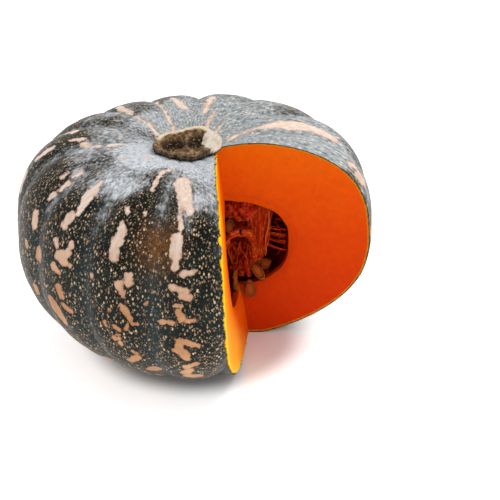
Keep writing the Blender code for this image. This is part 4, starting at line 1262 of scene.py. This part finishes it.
def makeSeedMaterial():
    # Fresh squash seeds, still moist and stained by the pulp: a satin brown-orange coat, streaked
    # lengthwise, with a groove and an outer edge darkened as painted shade and a paler rim that is partly a
    # painted highlight
    material, tree, shader = newMaterial("moist squash seed coat", 0.36, 1.45, Specular_IOR_Level=0.05)
    own = addNode(tree, "ShaderNodeAttribute", {"attribute_name": "onSeed"}).outputs["Vector"]
    tone = addNode(tree, "ShaderNodeAttribute", {"attribute_name": "tone"}).outputs["Fac"]
    flat = addNode(tree, "ShaderNodeVectorMath", {"operation": "MULTIPLY", 1: (1.0, 1.15, 0.0)}, {0: own})
    out = addNode(tree, "ShaderNodeVectorMath", {"operation": "LENGTH"}, {0: flat})
    # from the middle of a face out: the face, a groove darkened as painted shade, the rim, paler partly as
    # a painted highlight, then the outer edge darkened as painted shade
    face = addNode(tree, "ShaderNodeValToRGB",
                   {"stops": ((0.0, "#bc5a12"), (0.66, "#943c0a"), (0.79, "#3c0c02"), (0.88, "#a8622a"),
                              (0.93, "#9c5422"), (1.0, "#3c1004"))},
                   {0: out.outputs["Value"]})
    drawn = addNode(tree, "ShaderNodeMapping", {"Scale": (1.2, 7.0, 1.0)}, {"Vector": own})
    streaks = addNode(tree, "ShaderNodeTexNoise", {"Scale": 1.6, "Detail": 4.0}, {"Vector": drawn})
    shade = addNode(tree, "ShaderNodeMapRange",
                    {"From Min": 0.3, "From Max": 0.7, "To Min": 0.78, "To Max": 1.12},
                    {"Value": streaks})
    body = addNode(tree, "ShaderNodeVectorMath", {"operation": "SCALE"}, {0: face, "Scale": shade})
    stained = addNode(tree, "ShaderNodeMapRange", {"To Min": 0.0, "To Max": 0.45}, {"Value": tone})
    body = addNode(tree, "ShaderNodeMix", {"data_type": "RGBA", 7: hexColour("#8e3c14")},
                   {0: stained, 6: body})
    tree.links.new(body.outputs[2], shader.inputs["Base Color"])
    bump = addNode(tree, "ShaderNodeBump", {"Strength": 0.3, "Distance": 0.0002}, {"Height": streaks})
    tree.links.new(bump.outputs[0], shader.inputs["Normal"])
    return material


# Stem stub

stem = {"around": 220, "upwards": 110, "half": (24.5 * mm, 17.5 * mm), "height": 9.5 * mm,
        "tilt": (0.13, 0.20), "dish": 1.2 * mm, "at": (-7.5 * mm, -4 * mm), "gap": 0.5 * mm,
        "leastSide": 4 * mm,
        "corners": 5, "angles": 0.06, "oval": 0.04,
        # by the grid's rises in degrees: underside up to the first, side up to the second, top above it
        "undersideTo": -20, "sideTo": 30, "foot": 0.97, "fullHeightAt": 25, "top": (22, 36),
        "rim": (22, 27), "rimEnds": (42, 34), "rimBehind": (0.1, 0.5), "rimTurned": math.radians(8),
        "ridges": 0.6 * mm, "ridgesFrom": -5, "crumbs": 1.0 * mm, "tears": 1.6 * mm,
        # mm beside and behind the middle, two half sizes, turn in degrees, depth
        "hollows": ((-9.5, 1.0, 9.5, 5.8, 18, 4.6), (7.5, 2.5, 6.5, 7.5, 0, 5.0)),
        # the bare pale cork: mm beside and behind the middle, and two half sizes
        "cream": (20.0, 1.0, 9.0, 12.0), "creamFrom": -8}


def makeStem():
    s = stem
    skinAzimuth, skinRise, skinFaces = sphereGrid(240, 120, squash["firstFurrow"])
    surface = surfaceOf(skinPoint(skinAzimuth, skinRise), skinFaces)

    def skinBelow(x, y):
        return surface.ray_cast(Vector((x, y, 0.2)), Vector((0, 0, -1)))[0].z

    top = skinBelow(*s["at"]) + s["height"]
    azimuth, rise, faces = sphereGrid(s["around"], s["upwards"])
    degrees = np.degrees(rise)
    low, high, foot = s["undersideTo"], s["sideTo"], s["foot"]
    sideWidth = foot + (1 - foot) * np.sin(math.pi / 2 * (degrees - low) / (high - low))
    width = np.where(degrees < high, sideWidth, (90 - degrees) / (90 - high))
    width = np.where(degrees < low, foot * (90 + degrees) / (90 + low), width)
    corners = 1 + s["angles"] * np.cos(s["corners"] * azimuth + 0.6) + s["oval"] * np.sin(2 * azimuth + 1)
    beside = s["half"][0] * width * corners * np.cos(azimuth)
    back = s["half"][1] * width * corners * np.sin(azimuth)
    x, y = s["at"][0] + beside, s["at"][1] + back
    rest = np.array([skinBelow(*place) for place in zip(x, y)]) + s["gap"]
    lift = np.clip((degrees - low) / (s["fullHeightAt"] - low), 0, 1)
    flatTop = np.maximum(0, (degrees - high) / (90 - high))
    tilt = s["tilt"][0] * beside + s["tilt"][1] * back
    z = rest + (top + tilt - rest) * lift - s["dish"] * flatTop
    z = np.maximum(rest + s["leastSide"] * lift, z)
    z = np.where(degrees < low, rest, z)

    # the broken top: two torn hollows, a ridge between them, and a rim that stands higher behind
    onTop = smoothStep(*s["top"], degrees)
    hollow = np.zeros(len(x))
    for hollowX, hollowY, sizeX, sizeY, turn, deep in s["hollows"]:
        cosine, sine = math.cos(math.radians(turn)), math.sin(math.radians(turn))
        a, b = beside / mm - hollowX, back / mm - hollowY
        u, v = (a * cosine + b * sine) / sizeX, (-a * sine + b * cosine) / sizeY
        bowl = np.exp(-(u * u + v * v) ** 1.6)
        z -= bowl * deep * mm * onTop
        hollow = np.maximum(hollow, bowl * onTop)
    creamX, creamY, creamWide, creamDeep = s["cream"]
    creamAway = ((beside / mm - creamX) / creamWide) ** 2 + ((back / mm - creamY) / creamDeep) ** 2
    cream = np.exp(-creamAway ** 1.5)
    cream *= smoothStep(low, s["creamFrom"], degrees)
    points = np.stack((x, y, z), -1)
    ridges = noiseAt(points, 5.5 * mm, 13, (1, 1, 0.35)) + 0.6 * noiseAt(points, 2.2 * mm, 14, (1, 1, 0.4))
    crumbs = noiseAt(points, 3.6 * mm, 15) + 0.5 * noiseAt(points, 1.5 * mm, 16)
    calm = 1 - 0.8 * cream
    sideways = s["ridges"] * ridges * smoothStep(low, s["ridgesFrom"], degrees) * (1 - 0.6 * onTop) * calm
    points[:, 0] += sideways * np.cos(azimuth)
    points[:, 1] += sideways * np.sin(azimuth)
    points[:, 2] += s["crumbs"] * crumbs * onTop * calm * (0.6 + 1.1 * hollow)
    points[:, 2] -= s["tears"] * onTop * (1 - cream) * np.maximum(0, 0.5 * ridges + 0.1)
    points[:, 2] = np.minimum(points[:, 2], cadTop("stem") - 0.1 * mm)
    rim = smoothStep(*s["rim"], degrees) * smoothStep(*s["rimEnds"], degrees)
    behind = smoothStep(*s["rimBehind"], np.sin(azimuth + s["rimTurned"]))
    piece = addPiece("stemStub", points, faces)
    storeAttribute(piece, "broken", np.stack((hollow, cream, rim * behind), -1))
    storeAttribute(piece, "height", 0.5 * smoothStep(low, s["fullHeightAt"], degrees) + 0.5 * onTop)
    return piece


def cadTop(node):
    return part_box(node)[1][2] - middle[2]


def makeStemMaterial():
    # Dried corky peduncle, broken off: dull and rough, brown-grey bark, torn hollows darkened as painted
    # shade, a pale tan rim and one patch of bare off-white cork.
    material, tree, shader = newMaterial("dried corky stem, broken", 0.85, 1.45, Specular_IOR_Level=0.2)
    parts = addNode(tree, "ShaderNodeAttribute", {"attribute_name": "broken"}).outputs["Vector"]
    parts = addNode(tree, "ShaderNodeSeparateXYZ", {}, {0: parts}).outputs
    height = addNode(tree, "ShaderNodeAttribute", {"attribute_name": "height"}).outputs["Fac"]
    place = addNode(tree, "ShaderNodeTexCoord").outputs["Object"]
    coarse = addNode(tree, "ShaderNodeTexNoise", {"Scale": 1 / 0.0048, "Detail": 5.0, "Roughness": 0.7},
                     {"Vector": place})
    fine = addNode(tree, "ShaderNodeTexNoise", {"Scale": 1 / 0.0013, "Detail": 4.0, "Roughness": 0.7},
                   {"Vector": place})
    drawn = addNode(tree, "ShaderNodeMapping", {"Scale": (420, 420, 110)}, {"Vector": place})
    bark = addNode(tree, "ShaderNodeTexNoise", {"Scale": 1.0, "Detail": 4.0, "Roughness": 0.65},
                   {"Vector": drawn})
    mixed = addNode(tree, "ShaderNodeMix", {"data_type": "FLOAT", 0: 0.5}, {2: coarse, 3: bark})
    wall = addNode(tree, "ShaderNodeValToRGB",
                   {"stops": ((0.32, "#18110a"), (0.45, "#40332a"), (0.56, "#6a5a48"), (0.68, "#a89880"))},
                   {0: mixed})
    top = addNode(tree, "ShaderNodeValToRGB",
                  {"stops": ((0.32, "#362212"), (0.48, "#684c32"), (0.66, "#bc9e78"))}, {0: mixed})
    onTop = addNode(tree, "ShaderNodeMapRange", {"From Min": 0.55, "From Max": 0.9}, {"Value": height})
    body = addNode(tree, "ShaderNodeMix", {"data_type": "RGBA"}, {0: onTop, 6: wall, 7: top})
    # torn hollows darkened as painted shade, with pale torn specks in them, and the rim behind
    dark = addNode(tree, "ShaderNodeMapRange", {"From Min": 0.10, "From Max": 0.50, "To Max": 0.95},
                   {"Value": parts[0]})
    body = addNode(tree, "ShaderNodeMix", {"data_type": "RGBA", 7: hexColour("#26140c")},
                   {0: dark, 6: body})
    torn = addNode(tree, "ShaderNodeMapRange", {"From Min": 0.56, "From Max": 0.66}, {"Value": fine})
    torn = addNode(tree, "ShaderNodeMath", {"operation": "MULTIPLY"}, {0: torn, 1: parts[0]})
    body = addNode(tree, "ShaderNodeMix", {"data_type": "RGBA", 7: hexColour("#c9b084")},
                   {0: torn, 6: body})
    body = addNode(tree, "ShaderNodeMix", {"data_type": "RGBA", 7: hexColour("#f2dabc")},
                   {0: parts[2], 6: body})
    # the bare cork, with a ragged edge
    bare = addNode(tree, "ShaderNodeValToRGB", {"stops": ((0.35, "#d0bca4"), (0.6, "#ece0d2"))},
                   {0: coarse})
    uneven = addNode(tree, "ShaderNodeMath", {"operation": "MULTIPLY_ADD", 1: 0.9, 2: -0.45}, {0: coarse})
    uneven = addNode(tree, "ShaderNodeMath", {"operation": "ADD"}, {0: uneven, 1: parts[1]})
    bareMask = addNode(tree, "ShaderNodeMapRange", {"From Min": 0.42, "From Max": 0.52},
                       {"Value": uneven})
    body = addNode(tree, "ShaderNodeMix", {"data_type": "RGBA"}, {0: bareMask, 6: body, 7: bare})
    shadow = addNode(tree, "ShaderNodeMapRange",
                     {"From Min": 0.0, "From Max": 0.16, "To Min": 0.30, "To Max": 1.0},
                     {"Value": height})
    body = addNode(tree, "ShaderNodeVectorMath", {"operation": "SCALE"}, {0: body, "Scale": shadow})
    tree.links.new(body.outputs[0], shader.inputs["Base Color"])
    relief = addNode(tree, "ShaderNodeMath", {"operation": "MULTIPLY_ADD", 1: 0.5}, {0: fine, 2: mixed})
    bump = addNode(tree, "ShaderNodeBump", {"Strength": 0.8, "Distance": 0.0009}, {"Height": relief})
    tree.links.new(bump.outputs[0], shader.inputs["Normal"])
    return material


# Floor, light and camera

# the floor's painted light, and the distances where its painted contact shadow fades, are set here too
studio = {"floorSize": 8.0, "keyAt": (1.1, 0.9, 1.9), "keyAim": (0, 0, 0.08), "keySize": 0.9,
          "keyPower": 20.0, "paintedGlow": 0.6, "paintedShadowFadesFrom": 0.066, "paintedShadowGoneAt": 0.094, "world": 0.80}
view = {"distance": 2.5, "elevation": math.radians(30.717), "pixel": 0.000763,          # metres a pixel
        "middle": (197.2, 234.15), "frame": 500}


def makeStudio():
    half = studio["floorSize"] / 2
    corners = [(-half, -half, 0), (half, -half, 0), (half, half, 0), (-half, half, 0)]
    floor = addPiece("floor", corners, [(0, 1, 2, 3)])
    # Smooth white studio sweep board, matt
    material, tree, shader = newMaterial("matt white sweep board", 0.8, 1.45)
    place = addNode(tree, "ShaderNodeTexCoord").outputs["Object"]
    tooth = addNode(tree, "ShaderNodeTexNoise", {"Scale": 900.0, "Detail": 2.0}, {"Vector": place})
    white = addNode(tree, "ShaderNodeValToRGB", {"stops": ((0.0, "#f2f2f3"), (1.0, "#f8f8f9"))},
                    {0: tooth})
    tree.links.new(white.outputs[0], shader.inputs["Base Color"])
    # painted light: the floor is lit through from below, except where the fruit stands, which leaves a
    # painted contact shadow round it
    flat = addNode(tree, "ShaderNodeVectorMath", {"operation": "MULTIPLY", 1: (1.0, 1.0, 0.0)},
                   {0: place})
    away = addNode(tree, "ShaderNodeVectorMath", {"operation": "LENGTH"}, {0: flat})
    paintedGlow = addNode(tree, "ShaderNodeMapRange",
                   {"interpolation_type": "SMOOTHSTEP", "From Min": studio["paintedShadowFadesFrom"],
                    "From Max": studio["paintedShadowGoneAt"], "To Max": studio["paintedGlow"]},
                   {"Value": away.outputs["Value"]})
    shader.inputs["Emission Color"].default_value = (1, 1, 1, 1)
    tree.links.new(paintedGlow.outputs[0], shader.inputs["Emission Strength"])
    floor.data.materials.append(material)

    data = bpy.data.lights.new("key light", "AREA")
    data.shape = "DISK"
    data.size = studio["keySize"]
    data.energy = studio["keyPower"]
    light = bpy.data.objects.new("key light", data)
    light.location = studio["keyAt"]
    light.rotation_euler = (Vector(studio["keyAim"]) - light.location).to_track_quat("-Z", "Y").to_euler()
    bpy.context.scene.collection.objects.link(light)

    world = bpy.data.worlds.new("soft white room")
    world.use_nodes = True
    background = world.node_tree.nodes["Background"]
    background.inputs["Color"].default_value = (1, 1, 1, 1)
    background.inputs["Strength"].default_value = studio["world"]
    bpy.context.scene.world = world
    bpy.context.scene.view_settings.view_transform = "Standard"


def makeCamera():
    # the frame's middle looks a little past the fruit's middle, so the camera turns instead of shifting
    away, tilt = view["distance"], view["elevation"]
    at = Vector((0, -away * math.cos(tilt), away * math.sin(tilt)))
    ahead = -at.normalized()
    right = Vector((1, 0, 0))
    up = right.cross(ahead)
    focus = away / view["pixel"]
    half = view["frame"] / 2
    aside, higher = half - view["middle"][0], half - view["middle"][1]
    ahead = (ahead + right * aside / focus - up * higher / focus).normalized()
    right = ahead.cross(Vector((0, 0, 1))).normalized()
    up = right.cross(ahead)
    data = bpy.data.cameras.new("camera")
    data.sensor_width = 36
    data.lens = data.sensor_width * focus / view["frame"]
    data.clip_end = 20
    camera = bpy.data.objects.new("camera", data)
    turned = Matrix((right, up, -ahead)).transposed().to_4x4()
    camera.matrix_world = Matrix.Translation(at + Vector(middle)) @ turned
    bpy.context.scene.collection.objects.link(camera)
    bpy.context.scene.camera = camera


makeCamera()
makeStudio()
print("studio and camera ready")

rindCutter = wedgeCutter("knife for the rind", rind["cutBack"], ragged=rind["chipping"])
rindPiece = makeRind(rindCutter)
bpy.data.objects.remove(rindCutter)
finishPiece(rindPiece, makeRindMaterial(), ["rind"])

fleshCutter = wedgeCutter("knife for the flesh", 0.0)
fleshPiece = makeFlesh(fleshCutter)
bpy.data.objects.remove(fleshCutter)
finishPiece(fleshPiece, makeFleshMaterial(), ["flesh"])

pulpCutter = wedgeCutter("knife for the pulp", -pulp["recess"], grain=0.0)
pulpMaterial = makePulpMaterial()
pulpPiece = makePulp(pulpCutter, pulpMaterial)
bpy.data.objects.remove(pulpCutter)
finishPiece(pulpPiece, pulpMaterial, ["pulp"], sharp=70)

makeSeeds(makeSeedMaterial())
finishPiece(makeStem(), makeStemMaterial(), ["stem"], sharp=60)
